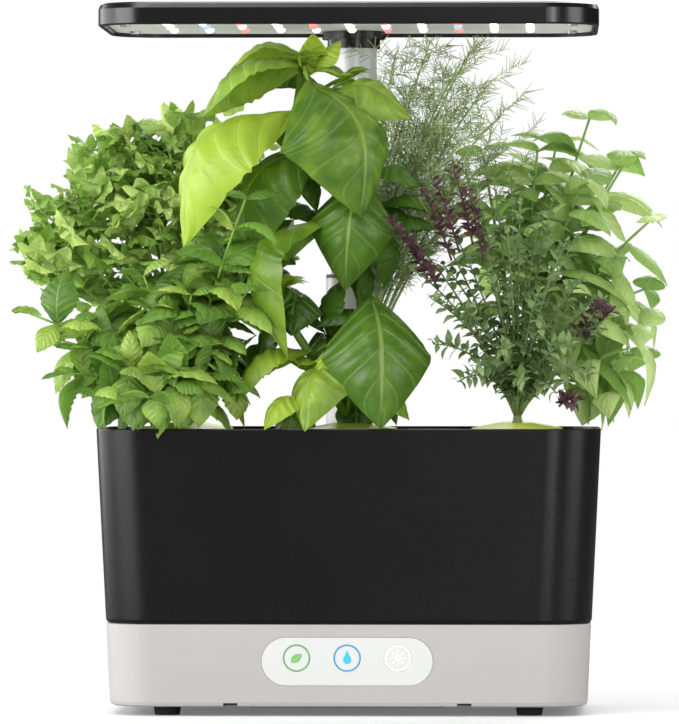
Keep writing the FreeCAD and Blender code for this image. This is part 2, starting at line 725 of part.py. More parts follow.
def make_dc_inlet():
    """Round low-voltage inlet: a nose through the rear wall, a stepped bore and a centre pin."""
    rear = "base_depth / 2"
    depth = "(inlet_mouth_depth + inlet_bore_depth + base_wall)"
    nose = cylinder("InletNose", "inlet_nose", depth, INLET_X, f"{rear} - {depth}", INLET_Z, "Y")
    body_depth = f"({depth} - base_wall)"
    body_y = f"({rear} - base_wall - {body_depth} / 2)"
    body_z = f"({INLET_Z} - inlet_box / 2)"
    body = block("InletBody", "inlet_box", body_depth, "inlet_box", INLET_X, body_y, body_z)
    mouth = cylinder(
        "InletMouth", "inlet_mouth", "inlet_mouth_depth", INLET_X, f"{rear} - inlet_mouth_depth", INLET_Z, "Y"
    )
    floor = f"({rear} - inlet_mouth_depth - inlet_bore_depth)"
    bore = cylinder("InletBore", "inlet_bore", "inlet_bore_depth", INLET_X, floor, INLET_Z, "Y")
    shell = cut("InletShell", fuse("InletSolid", nose, body), mouth, bore)
    pin = cylinder(
        "InletPin",
        "inlet_pin",
        "inlet_pin_length + base_wall / 2",
        INLET_X,
        f"{floor} - base_wall / 2",
        INLET_Z,
        "Y",
    )
    leg_y = f"({body_y} - {body_depth} / 4)"
    leg = block(
        "InletLeg", "inlet_box / 2", "board_boss", f"{body_z} - {PLATE_TOP}", INLET_X, leg_y, PLATE_TOP
    )
    return sub_part(fuse("Inlet", shell, pin, leg), "dc_inlet")


def make_level_sensor():
    """Reed sensor against the underside of the base top, below the float."""
    top = f"({BASE_TOP} - base_wall)"
    case = block(
        "SensorCase", "inlet_box", "inlet_box", "switch_size", "float_x", FLOAT_Y, f"{top} - switch_size"
    )
    return sub_part(case, "level_sensor")


def make_pump_contacts():
    """Two spring contacts in a block under the base top, flush with the base top."""
    top = f"({BASE_TOP} - base_wall)"
    width = "contact_pitch + 4 * contact_pin + contact_pin"
    holder = block(
        "ContactHolder", width, "5 * contact_pin", "switch_size", PUMP_X, PUMP_Y, f"{top} - switch_size"
    )
    pins = []
    for side in (-1, 1):
        x = f"{PUMP_X} + {side} * contact_pitch / 2"
        pins.append(
            cylinder(f"ContactPin{side + 2}", "contact_pin", "switch_size + base_wall", x, PUMP_Y, f"{top} - switch_size"),
        )
    return sub_part(fuse("PumpContacts", holder, *pins), "pump_contacts")


def make_post_sleeve():
    """Fixed outer post on the bottom plate, and the bush that guides the moving post."""
    outer = cylinder("SleeveOuter", "sleeve_radius", f"sleeve_top - {PLATE_TOP}", "0", POST_Y, PLATE_TOP)
    foot = cylinder("SleeveFoot", "sleeve_foot_radius", "sleeve_foot_thick", "0", POST_Y, PLATE_TOP)
    inner = cylinder(
        "SleeveInner", "sleeve_radius - sleeve_wall", f"sleeve_top - {PLATE_TOP}", "0", POST_Y, PLATE_TOP
    )
    sub_part(cut("Sleeve", fuse("SleeveSolid", outer, foot), inner), "post_sleeve")
    bush_low = "(sleeve_top - bush_length)"
    barrel = cylinder("BushBarrel", "sleeve_radius - sleeve_wall", "bush_length", "0", POST_Y, bush_low)
    flange = cylinder("BushFlange", "sleeve_radius", "bush_flange", "0", POST_Y, "sleeve_top")
    bore = cylinder("BushBore", "post_radius + post_gap", "bush_length + bush_flange", "0", POST_Y, bush_low)
    sub_part(cut("Bush", fuse("BushSolid", barrel, flange), bore), "sleeve_bush")


# The lamp.


def make_lamp_post():
    """Moving inner post, a tube from inside the sleeve to the hood's top."""
    low = "(sleeve_top - post_overlap)"
    height = f"{HOOD_TOP} - hood_wall - {low}"
    outer = cylinder("PostOuter", "post_radius", height, "0", POST_Y, low)
    inner = cylinder("PostInner", "post_radius - post_wall", height, "0", POST_Y, low)
    sub_part(cut("Post", outer, inner), "lamp_post")
    flange_low = f"({PANEL_UNDER} - flange_thick)"
    ring_low = f"({flange_low} - ring_height)"
    flange = cylinder("CollarFlange", "flange_radius", "flange_thick", "0", POST_Y, flange_low)
    ring = cylinder("CollarRing", "ring_radius", "ring_height", "0", POST_Y, ring_low)
    bore = cylinder("CollarBore", "post_radius", "flange_thick + ring_height", "0", POST_Y, ring_low)
    sub_part(cut("Collar", fuse("CollarSolid", flange, ring), bore), "post_collar")


def make_hood():
    """Black tray-shaped hood, open below, with four screw bosses for the white panel."""
    body = new_body("HoodShell")
    outside = rolled_sections(
        ("hood_bottom", "hood_length", "hood_depth", "hood_corner"),
        (HOOD_TOP, "hood_length", "hood_depth", "hood_corner"),
        "hood_lip",
        "hood_edge",
    )
    loft(body, "AdditiveLoft", "hood_outside", *outside, y=HOOD_Y)
    inside = sketch_on(body, "hood_inside", y=HOOD_Y, z="hood_bottom")
    draw_rounded_rectangle(
        inside, "hood_length - 2 * hood_wall", "hood_depth - 2 * hood_wall", "hood_corner - hood_wall"
    )
    pocket(body, inside, "hood_height - hood_wall", reversed_way=True)
    places = four_places("hood_screw_inset_x", "hood_screw_inset_y", "hood_length", "hood_depth", HOOD_Y)
    boss_low = f"({PANEL_UNDER} + light_panel_thick)"
    for number, (x, y) in enumerate(places):
        boss = sketch_on(body, f"hood_boss_{number + 1}", x=x, y=y, z=boss_low)
        draw_circle(boss, "board_boss")
        pad(body, boss, f"{HOOD_TOP} - hood_wall - {boss_low}")
    return sub_part(body, "hood_shell")


def led_places(wanted):
    """Places of the lamps of one colour in three rows of eleven."""
    colours = ["wwrwrwrwrww", "wbwwrwwwbww", "wwrwwwrwrww"]
    places = []
    for row, line in enumerate(colours):
        for column, colour in enumerate(line):
            if colour == wanted:
                x = f"{column - 5} * led_pitch"
                y = f"({HOOD_Y} - hood_depth / 2 + led_front_inset + {row} * led_row_pitch)"
                places.append((x, y))
    return places


def make_light_panel():
    """White reflector plate and the aluminium board above it."""
    body = new_body("LightPanel")
    inset = "2 * (hood_wall + panel_clear)"
    outline = sketch_on(body, "light_outline", y=HOOD_Y, z=PANEL_UNDER)
    draw_rounded_rectangle(
        outline, f"hood_length - {inset}", f"hood_depth - {inset}", "hood_corner - hood_wall - panel_clear"
    )
    pad(body, outline, "light_panel_thick")
    hole = sketch_on(body, "panel_post_hole", y=POST_Y, z=f"{PANEL_UNDER} + light_panel_thick")
    draw_circle(hole, "post_radius + panel_clear")
    pocket(body, hole, "light_panel_thick")
    places = four_places("hood_screw_inset_x", "hood_screw_inset_y", "hood_length", "hood_depth", HOOD_Y)
    top = f"{PANEL_UNDER} + light_panel_thick"
    bore_screw_holes(body, "panel_screw_hole", places, top, "light_panel_thick")
    sub_part(body, "light_panel")
    low = f"({PANEL_UNDER} + light_panel_thick)"
    front = f"({HOOD_Y} - hood_depth / 2 + led_board_inset)"
    rear = f"({POST_Y} - post_radius - board_boss)"
    board = block(
        "LedBoard",
        "hood_length - 2 * hood_screw_inset_x - 4 * board_boss",
        f"({rear} - {front})",
        "board_thick",
        "0",
        f"(({rear} + {front}) / 2)",
        low,
    )
    return sub_part(board, "led_board")


def make_leds(label, colour):
    """Clear domes under the white panel: a short barrel and a tapered nose."""
    domes = []
    levels = (
        (f"{PANEL_UNDER} - led_drop", "led_radius / 2"),
        (f"{PANEL_UNDER} - led_drop / 2", "led_radius"),
        (PANEL_UNDER, "led_radius"),
    )
    for number, (x, y) in enumerate(led_places(colour), start=1):
        domes.append(taper(f"{label}_{number}", 10, x, y, *levels))
    return sub_part(group(f"{label}_group", domes), label)


# The bowl and what it carries.


def bowl_section(height, wall="0"):
    """Length and depth of the bowl at a height, less a wall on each side."""
    lean = f"bowl_draft * (1 - ({height} - {BASE_TOP}) / bowl_height)"
    length = f"bowl_length - 2 * ({lean}) - 2 * ({wall})"
    depth = f"bowl_depth - 2 * ({lean}) - 2 * ({wall})"
    return length, depth


def make_bowl():
    """Black tank, its deck ledge, and the channel that straddles the post at the rear."""
    body = new_body("Bowl")
    outside = rolled_sections(
        (BASE_TOP, *bowl_section(BASE_TOP), "bowl_corner"),
        (RIM, *bowl_section(RIM), "bowl_corner"),
        "bowl_edge",
        "bowl_rim_edge",
    )
    loft(body, "AdditiveLoft", "bowl_outside", *outside)
    loft(
        body,
        "SubtractiveLoft",
        "bowl_inside",
        (TANK_FLOOR, *bowl_section(TANK_FLOOR, "bowl_wall"), "bowl_corner - bowl_wall"),
        (RIM, *bowl_section(RIM, "bowl_wall"), "bowl_corner - bowl_wall"),
    )
    loft(
        body,
        "SubtractiveLoft",
        "deck_seat",
        (LEDGE, *bowl_section(LEDGE, "rim_wall"), "bowl_corner - rim_wall"),
        (RIM, *bowl_section(RIM, "rim_wall"), "bowl_corner - rim_wall"),
    )
    half = "(channel_radius + channel_wall)"
    front = f"({POST_Y} - {half})"
    ends = []
    for name, level in (("low", BASE_TOP), ("high", LEDGE)):
        rear = f"(({bowl_section(level)[1]}) / 2 - bowl_wall / 2)"
        sketch = sketch_on(body, f"channel_{name}", y=f"({front} + {rear}) / 2", z=level)
        draw_rectangle(sketch, f"2 * {half}", f"{rear} - {front}")
        ends.append(sketch)
    walls = body.newObject("PartDesign::AdditiveLoft", "channel_walls")
    walls.Profile = ends[0]
    walls.Sections = [ends[1]]
    walls.Ruled = True
    rear = "(bowl_depth / 2 + channel_wall)"
    slot_front = f"({POST_Y} - channel_radius)"
    length = f"(2 * {rear} - 2 * {slot_front})"
    slot = sketch_on(body, "channel_slot", y=rear, z=RIM)
    draw_rounded_rectangle(slot, "2 * channel_radius", length, "channel_corner")
    pocket(body, slot, "bowl_height")
    for side in (-1, 1):
        contact = sketch_on(
            body, f"plate_hole_{side + 2}", x=f"{PUMP_X} + {side} * contact_pitch / 2", y=PUMP_Y, z=TANK_FLOOR
        )
        draw_circle(contact, "contact_radius")
        pocket(body, contact, "bowl_floor")
    return sub_part(body, "bowl")


def make_grow_deck():
    """Deck on the bowl's ledge, with six pod holes, a fill port and the flap's ears."""
    body = new_body("GrowDeck")
    length, depth = bowl_section(LEDGE, "rim_wall + deck_gap")
    outline = sketch_on(body, "deck_outline", y="0", z=LEDGE)
    draw_rounded_rectangle(outline, length, depth, "bowl_corner - rim_wall - deck_gap")
    pad(body, outline, "deck_thick")
    for number, (x, y) in enumerate(PODS, start=1):
        hole = sketch_on(body, f"pod_hole_{number}", x=x, y=y, z=DECK_TOP)
        draw_circle(hole, "basket_radius + basket_gap")
        pocket(body, hole, "deck_thick")
    port = sketch_on(body, "fill_port", x=PORT_X, y=PORT_Y, z=DECK_TOP)
    draw_rectangle(port, "port_length", "port_depth")
    pocket(body, port, "deck_thick")
    rear = "(bowl_depth / 2 + channel_wall)"
    slot_front = f"({POST_Y} - channel_radius)"
    notch = sketch_on(body, "deck_notch", y=rear, z=DECK_TOP)
    draw_rounded_rectangle(notch, "2 * channel_radius", f"(2 * {rear} - 2 * {slot_front})", "channel_corner")
    pocket(body, notch, "deck_thick")
    ear_height = "(flap_gap + 2 * hinge_radius)"
    for side in (-1, 1):
        x = f"({PORT_X} + {side} * (flap_length / 2 + ear_gap + ear_thick / 2))"
        ear = sketch_on(body, f"ear_{side + 2}", x=x, y=HINGE_Y, z=DECK_TOP)
        draw_rectangle(ear, "ear_thick", "2 * hinge_radius")
        pad(body, ear, ear_height)
    return sub_part(body, "grow_deck")


HINGE_Y = f"({PORT_Y} + flap_depth / 2)"
HINGE_Z = f"({DECK_TOP} + flap_gap + hinge_radius)"


def make_fill_flap():
    """Flap over the fill port: a plate, a barrel on its rear edge and a finger lip."""
    low = f"({DECK_TOP} + flap_gap)"
    plate_depth = "(flap_depth)"
    plate = block(
        "FlapPlate", "flap_length", plate_depth, "flap_thick", PORT_X, f"{HINGE_Y} - {plate_depth} / 2", low
    )
    lip_y = f"{HINGE_Y} - flap_depth + flap_thick / 2"
    lip = block("FlapLip", "port_length / 2", "flap_thick", "2 * flap_thick", PORT_X, lip_y, low)
    start = f"{PORT_X} - flap_length / 2"
    barrel = cylinder("FlapBarrel", "hinge_radius", "flap_length", start, HINGE_Y, HINGE_Z, "X")
    bore = cylinder("FlapBore", "pin_radius + pin_gap", "flap_length", start, HINGE_Y, HINGE_Z, "X")
    sub_part(cut("Flap", fuse("FlapSolid", plate, lip, barrel), bore), "fill_flap")
    reach = "(flap_length / 2 + ear_gap)"
    pin = cylinder("FlapPin", "pin_radius", f"2 * {reach}", f"{PORT_X} - {reach}", HINGE_Y, HINGE_Z, "X")
    sub_part(pin, "flap_pin")


def make_basket(number, x, y):
    """Tapered basket with a collar on the deck and slots for the roots."""
    low = f"{DECK_TOP} - basket_height"
    top = f"{DECK_TOP} + collar_height"
    inside = "(basket_radius - basket_wall)"
    cup = taper(f"Cup{number}", 28, x, y, (low, "basket_foot"), (DECK_TOP, "basket_radius"))
    rim = taper(f"Collar{number}", 28, x, y, (DECK_TOP, "collar_radius"), (top, "collar_radius"))
    hollow = taper(
        f"Hollow{number}",
        28,
        x,
        y,
        (f"{low} + basket_floor", "basket_foot - basket_wall"),
        (DECK_TOP, inside),
        (top, inside),
    )
    tall = "(basket_height - slot_low - slot_high)"
    reach = "(basket_radius + basket_wall)"
    slots = []
    for step in range(3):
        turn = math.pi / 3 * step
        ahead = round(math.cos(turn), 6)
        aside = round(math.sin(turn), 6)
        slot = document.addObject("Part::Box", f"Slot{number}_{step + 1}")
        bind(slot, "Length", f"2 * {reach}")
        bind(slot, "Width", "slot_width")
        bind(slot, "Height", tall)
        slot.Placement.Rotation = FreeCAD.Rotation(FreeCAD.Vector(0, 0, 1), 60 * step)
        corner_x = f"{x} - {ahead} * {reach} + {aside} * slot_width / 2"
        corner_y = f"{y} - {aside} * {reach} - {ahead} * slot_width / 2"
        place(slot, corner_x, corner_y, f"{low} + slot_low")
        slots.append(slot)
    whole = cut(f"Basket{number}", fuse(f"BasketSolid{number}", cup, rim), hollow, *slots)
    return sub_part(whole, f"basket_{number}")


def make_sponges():
    """Six tapered grow sponges, one in each basket."""
    sponges = []
    lean = "((basket_radius - basket_foot) / basket_height)"
    levels = (
        (f"{DECK_TOP} - basket_height + basket_floor", "basket_foot - basket_wall - sponge_gap"),
        (f"{DECK_TOP} - sponge_drop", f"basket_radius - basket_wall - sponge_gap - sponge_drop * {lean}"),
    )
    for number, (x, y) in enumerate(PODS, start=1):
        sponges.append(taper(f"Sponge{number}", 20, x, y, *levels))
    return sub_part(group("Sponges", sponges), "grow_sponges")


def make_label(number, x, y):
    """Sloping disc that rests on the basket's collar, with a hole for the stems."""
    slope = "(label_rise / (label_radius - label_hole))"
    low = f"({DECK_TOP} + collar_height + (collar_radius - label_radius) * {slope})"
    high = f"({low} + label_rise)"
    disc = taper(
        f"Disc{number}",
        40,
        x,
        y,
        (low, "label_radius"),
        (f"{low} + label_thick", "label_radius"),
        (f"{high} + label_thick", "label_hole"),
    )
    under = taper(f"DiscUnder{number}", 40, x, y, (low, "label_radius"), (high, "label_hole"))
    hole = taper(f"DiscHole{number}", 40, x, y, (high, "label_hole"), (f"{high} + label_thick", "label_hole"))
    return sub_part(cut(f"Label{number}", disc, under, hole), f"label_{number}")


def make_pump():
    """Pump on the tank floor: housing, cover with its outlet, filter, impeller and shaft."""
    low = TANK_FLOOR
    top = f"({low} + pump_height)"
    chamber_low = f"({top} - pump_chamber_depth)"
    case = block("PumpCase", "pump_length", "pump_depth", "pump_height", PUMP_X, PUMP_Y, low)
    chamber = cylinder("PumpChamber", "pump_chamber", "pump_chamber_depth", PUMP_X, PUMP_Y, chamber_low)
    intake_y = f"{PUMP_Y} - pump_depth / 2"
    intake = cylinder(
        "PumpIntake",
        "outlet_radius",
        "pump_depth / 2",
        PUMP_X,
        intake_y,
        f"{chamber_low} + outlet_radius + blade_thick",
        "Y",
    )
    sub_part(cut("PumpHousing", case, chamber, intake), "pump_housing")
    lid = block("PumpLid", "pump_length", "pump_depth", "pump_cover_thick", PUMP_X, PUMP_Y, top)
    outlet_x = f"({PUMP_X} - pump_chamber + outlet_radius)"
    pipe = cylinder("OutletPipe", "outlet_radius", "pump_cover_thick + outlet_height", outlet_x, PUMP_Y, top)
    hole = cylinder("OutletHole", "outlet_bore", "pump_cover_thick + outlet_height", outlet_x, PUMP_Y, top)
    sub_part(cut("PumpCover", fuse("PumpCoverSolid", lid, pipe), hole), "pump_cover")
    foam_y = f"{PUMP_Y} - pump_depth / 2 - filter_thick / 2"
    foam = block("PumpFoam", "pump_length * 0.6", "filter_thick", "pump_height * 0.8", PUMP_X, foam_y, low)
    sub_part(foam, "pump_filter")
    shaft = cylinder("ImpellerShaft", "shaft_radius", "pump_chamber_depth", PUMP_X, PUMP_Y, chamber_low)
    sub_part(shaft, "impeller_shaft")
    wheel_low = f"({chamber_low} + impeller_lift)"
    hub = cylinder("ImpellerHub", "impeller_hub", "impeller_height", PUMP_X, PUMP_Y, wheel_low)
    blades = []
    for number in range(round(size("blade_count"))):
        blade = document.addObject("Part::Box", f"Blade{number + 1}")
        bind(blade, "Length", "impeller_radius")
        bind(blade, "Width", "blade_thick")
        bind(blade, "Height", "impeller_height")
        bind(blade, "Placement.Rotation.Angle", f"{number} * 360 / blade_count")
        place(blade, PUMP_X, PUMP_Y, wheel_low)
        blades.append(blade)
    bore = cylinder("ImpellerBore", "shaft_radius + shaft_gap", "impeller_height", PUMP_X, PUMP_Y, wheel_low)
    sub_part(cut("Impeller", fuse("ImpellerSolid", hub, *blades), bore), "impeller")
    plates = []
    for side in (-1, 1):
        x = f"{PUMP_X} + {side} * contact_pitch / 2"
        plates.append(
            cylinder(f"ContactPlate{side + 2}", "contact_radius", "bowl_floor", x, PUMP_Y, BASE_TOP)
        )
    sub_part(group("ContactPlates", plates), "contact_plates")


def make_float():
    """Guide rod on the tank floor and the ring-shaped float that rises along it."""
    foot = cylinder("GuideFoot", "float_radius", "blade_thick", "float_x", FLOAT_Y, TANK_FLOOR)
    length = "(2 * blade_thick + float_height + float_travel + float_gap)"
    rod = cylinder("GuideRod", "float_guide_radius", length, "float_x", FLOAT_Y, TANK_FLOOR)
    cap = cylinder(
        "GuideCap", "2 * float_guide_radius", "blade_thick", "float_x", FLOAT_Y, f"{TANK_FLOOR} + {length}"
    )
    sub_part(fuse("FloatGuide", foot, rod, cap), "float_guide")
    low = f"({TANK_FLOOR} + blade_thick)"
    ring = cylinder("FloatRing", "float_radius", "float_height", "float_x", FLOAT_Y, low)
    hole = cylinder("FloatHole", "float_guide_radius + float_gap", "float_height", "float_x", FLOAT_Y, low)
    sub_part(cut("Float", ring, hole), "level_float")


# The plants. Each is a crown that stands on its sponge, with stems, and leaves on them.


def ring_solid(rings):
    """A closed solid whose faces join each ring of corners to the next; an end may be a point."""
    faces = []
    for lower, upper in zip(rings, rings[1:]):
        count = max(len(lower), len(upper))
        for index in range(count):
            following = (index + 1) % count
            if len(lower) > 1:
                top = upper[index % len(upper)]
                faces.append((lower[index], lower[following], top))
            if len(upper) > 1:
                base = lower[following % len(lower)]
                faces.append((base, upper[following], upper[index]))
    for end in (rings[0], rings[-1]):
        if len(end) > 1:
            faces.append(tuple(end))
    return closed_solid(faces)


def across(direction, upward=FreeCAD.Vector(0, 0, 1)):
    """Two unit vectors square to a direction, the first one level."""
    level = direction.cross(upward)
    if level.Length < 0.05 * direction.Length:
        level = direction.cross(FreeCAD.Vector(0, 1, 0))
    level.normalize()
    other = level.cross(direction)
    other.normalize()
    return level, other


def tube(points, first_radius, last_radius, sides=5):
    """A tapered stem along points that lie in one upright plane."""
    rings = []
    level = across(points[-1] - points[0])[0]
    for index, point in enumerate(points):
        before = points[max(index - 1, 0)]
        after = points[min(index + 1, len(points) - 1)]
        other = level.cross(after - before)
        other.normalize()
        share = index / (len(points) - 1)
        radius = first_radius + (last_radius - first_radius) * share
        angles = [2 * math.pi * side / sides for side in range(sides)]
        rings.append([point + level * radius * math.cos(a) + other * radius * math.sin(a) for a in angles])
    return ring_solid(rings)


BLADE_OUTLINES = {
    "diamond": [(0.42, 1)],
    "broad": [(0.12, 0.5), (0.38, 1), (0.7, 0.78)],
}


def leaf(root, tip, width, outline="broad", fold=0.12, arch=0.1):
    """A blade with a folded midrib that arches between its root and its tip."""
    thick = size("leaf_thick")
    run = tip - root
    level, other = across(run)
    rings = [[root - run * 0.04]]
    for share, part_of_width in BLADE_OUTLINES[outline]:
        middle = root + run * share + other * (arch * run.Length * math.sin(math.pi * share))
        half = width * part_of_width / 2
        edge = other * (fold * half * 2)
        rings.append(
            [
                middle - level * half + edge,
                middle - other * thick / 2,
                middle + level * half + edge,
                middle + other * thick / 2,
            ]
        )
    rings.append([tip])
    return ring_solid(rings)


def bowed(root, tip, rise):
    """Points along a stem that leaves its root upwards and leans over to its tip."""
    bend = root + (tip - root) * 0.35 + FreeCAD.Vector(0, 0, rise)
    shares = [0, 0.35, 0.7, 1]
    return [root * (1 - t) ** 2 + bend * 2 * t * (1 - t) + tip * t**2 for t in shares], bend


def along(root, bend, tip, share):
    return root * (1 - share) ** 2 + bend * 2 * share * (1 - share) + tip * share**2


def make_plant(label, pod, tips, habit, blades=()):
    """A plant whose stems run from its pod to the tips, with leaves set out by its habit."""
    pod_x, pod_y = PODS[pod]
    seat = FreeCAD.Vector(size(pod_x), size(pod_y), size(f"{DECK_TOP} - sponge_drop"))
    crown_rise = FreeCAD.Vector(0, 0, size("sponge_drop + collar_height + crown_height"))
    crown = seat + crown_rise
    solids = [tube([seat, crown], size("crown_radius"), size("crown_radius") * 0.8, 8)]
    curves = []
    lowest = size("leaf_clear")
    for number, reach in enumerate(tips):
        tip = crown + FreeCAD.Vector(*reach)
        root = crown - crown_rise * 0.12
        points, bend = bowed(root, tip, habit["rise"])
        solids.append(tube(points, habit["stem"], habit["stem"] * 0.6, habit["sides"]))
        curves.append((root, bend, tip))
        for step in range(habit["pairs"]):
            share = 1 - habit["spacing"] * step
            foot = along(root, bend, tip, share)
            if foot.z < crown.z + lowest:
                continue
            before = along(root, bend, tip, share - 0.05)
            level, other = across(foot - before)
            turn = (number * 1.1 + step * math.pi / 2) if habit["twist"] else number * 0.4
            for side in (1, -1):
                outward = (level * math.cos(turn) + other * math.sin(turn)) * side
                outward = outward + FreeCAD.Vector(0, 0, habit["lift"])
                outward.normalize()
                length = habit["leaf"] * (0.7 + 0.3 * step) if step < 2 else habit["leaf"]
                end = foot + outward * length
                start = foot + outward * habit["stem"] * 0.4
                end.z = max(end.z, crown.z + lowest)
                solids.append(leaf(start, end, length * habit["breadth"], habit["outline"]))
    for reach, end, width in blades:
        root = crown + FreeCAD.Vector(*reach)
        tip = crown + FreeCAD.Vector(*end)
        spots = [along(*curve, share / 20) for curve in curves for share in range(4, 21)]
        stalk = min(spots, key=lambda spot: (spot - root).Length)
        if (stalk - root).Length > habit["stem"]:
            solids.append(
                tube([stalk, root + (tip - root) * 0.02], habit["stem"] * 0.6, habit["stem"] * 0.5, 4)
            )
        solids.append(leaf(root, tip, width))
    plant = document.addObject("Part::Feature", f"Plant_{label}")
    plant.Shape = Part.makeCompound(solids)
    return sub_part(plant, label)


MINT = {"stem": 1.3, "sides": 3, "rise": 18, "pairs": 3, "spacing": 0.2, "twist": True}
MINT |= {"outline": "diamond", "lift": 0.1, "leaf": 25, "breadth": 0.62}
MINT_TIPS = [
    (-75, -16, 50),
    (-56, -30, 14),
    (-47, -8, 46),
    (-8, -44, 4),
    (20, -22, 34),
    (34, -24, 60),
    (36, -38, 112),
    (-15, -13, 70),
    (-31, -26, 30),
    (2, -8, 46),
]
PARSLEY = {"stem": 1.4, "sides": 3, "rise": 34, "pairs": 3, "spacing": 0.11, "twist": True}
PARSLEY |= {"outline": "diamond", "lift": 0.35, "leaf": 22, "breadth": 0.95}
PARSLEY_TIPS = [
    (-26, 6, 140),
    (8, 4, 150),
    (-76, 0, 104),
    (-50, 34, 124),
    (-11, 47, 118),
    (22, 34, 126),
    (-41, -6, 78),
    (-76, 22, 70),
    (-6, 10, 92),
    (24, 14, 98),
]
DILL = {"stem": 1.1, "sides": 3, "rise": 60, "pairs": 3, "spacing": 0.16, "twist": True}
DILL |= {"outline": "diamond", "lift": 0.7, "leaf": 24, "breadth": 0.12}
DILL_TIPS = [
    (22, -4, 196),
    (40, 6, 190),
    (58, -2, 184),
    (72, 4, 170),
    (76, 14, 140),
    (50, 18, 156),
    (33, 12, 136),
    (24, 8, 112),
    (62, 0, 124),
]
THAI = {"stem": 1.5, "sides": 3, "rise": 30, "pairs": 3, "spacing": 0.2, "twist": True}
THAI |= {"outline": "diamond", "lift": 0.0, "leaf": 34, "breadth": 0.46}
THAI_TIPS = [
    (36, 14, 158),
    (16, 38, 136),
    (52, 6, 128),
    (66, 0, 98),
    (66, 8, 62),
    (60, 18, 30),
    (44, 0, 10),
    (8, 40, 96),
    (-6, 46, 60),
    (30, 46, 84),
    (54, 36, 132),
]
THYME = {"stem": 0.8, "sides": 3, "rise": 26, "pairs": 3, "spacing": 0.24, "twist": True}
THYME |= {"outline": "diamond", "lift": 0.4, "leaf": 10, "breadth": 0.5}
THYME_TIPS = [
    (-34, -6, 96),
    (-22, -14, 112),
    (-12, -6, 122),
    (2, -18, 116),
    (12, -10, 104),
    (24, -18, 90),
    (34, -10, 72),
    (42, -18, 48),
    (38, -28, 20),
    (-28, -26, 56),
    (12, -32, 66),
    (-8, -36, 36),
]
BASIL = {"stem": 2.2, "sides": 5, "rise": 20, "pairs": 0, "spacing": 0.1, "twist": False}
BASIL |= {"outline": "broad", "lift": 0.0, "leaf": 40, "breadth": 0.6}
BASIL_TIPS = [(-28, 5, 184), (2, 7, 176)]
BASIL_BLADES = [
    ((-26, 5, 182), (-79, -5, 166), 32),
    ((-22, 13, 188), (-62, 21, 193), 22),
    ((-8, 9, 170), (31, -7, 174), 36),
    ((-22, 7, 184), (-22, 9, 203), 13),
    ((2, 1, 178), (6, -19, 110), 56),
    ((6, 3, 116), (8, -15, 74), 30),
    ((-34, 5, 144), (-84, -13, 100), 48),
    ((-18, 13, 136), (-54, 9, 88), 36),
    ((-4, 3, 98), (-38, -17, 46), 38),
    ((10, -1, 58), (18, -35, 6), 40),
    ((-2, -3, 24), (-20, -31, 6), 28),
    ((-20, -1, 32), (-50, -15, 16), 24),
    ((-20, 9, 58), (-42, -1, 38), 22),
    ((-14, 21, 154), (-40, 30, 126), 30),
    ((-6, 21, 94), (-26, 30, 68), 30),
    ((4, 21, 74), (12, 30, 46), 24),
]

make_base_shell()
make_bottom_plate()
make_feet()
make_screws(
    "BottomScrews",
    "bottom_screws",
    four_places("plate_screw_inset_x", "plate_screw_inset_y", "base_length", "base_depth"),
    PLATE_BOTTOM,
    "plate_thick",
)
make_control_overlay()
make_icon_disc("feed_button", -1, "button_play", True)
make_icon_disc("water_lens", 0, "0", False)
make_icon_disc("light_button", 1, "button_play", True)
make_control_board()
make_power_board()
make_dc_inlet()
make_level_sensor()
make_pump_contacts()
make_post_sleeve()
make_lamp_post()
make_hood()
make_light_panel()
make_leds("white_leds", "w")
make_leds("red_leds", "r")
make_leds("blue_leds", "b")
make_screws(
    "HoodScrews",
    "hood_screws",
    four_places("hood_screw_inset_x", "hood_screw_inset_y", "hood_length", "hood_depth", HOOD_Y),
    PANEL_UNDER,
    "light_panel_thick",
)
make_bowl()
make_grow_deck()
make_fill_flap()
for pod_number, (pod_x, pod_y) in enumerate(PODS, start=1):
    make_basket(pod_number, pod_x, pod_y)
    make_label(pod_number, pod_x, pod_y)
make_sponges()
make_pump()
make_float()
make_plant("mint", 0, MINT_TIPS, MINT)
make_plant("basil", 1, BASIL_TIPS, BASIL, BASIL_BLADES)
make_plant("thyme", 2, THYME_TIPS, THYME)
make_plant("parsley", 3, PARSLEY_TIPS, PARSLEY)
make_plant("dill", 4, DILL_TIPS, DILL)
make_plant("thai_basil", 5, THAI_TIPS, THAI)

document.recompute()
for thing in document.Objects:
    if "Invalid" in thing.State or "Error" in thing.State:
        raise RuntimeError(f"{thing.Name} ({thing.Label}) did not rebuild: {thing.State}")
for thing in sub_parts:
    if thing.Shape.isNull() or not thing.Shape.isValid():
        raise RuntimeError(f"{thing.Label} has no valid shape")

os.makedirs("parts", exist_ok=True)
for thing in sub_parts:
    thing.Shape.exportStep(f"parts/{thing.Label}.step")
    print(thing.Label, len(thing.Shape.Solids), round(thing.Shape.Volume / 1000, 2), "cm3")
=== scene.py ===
import math
import random

import bmesh
import bpy
from mathutils import Matrix, Vector


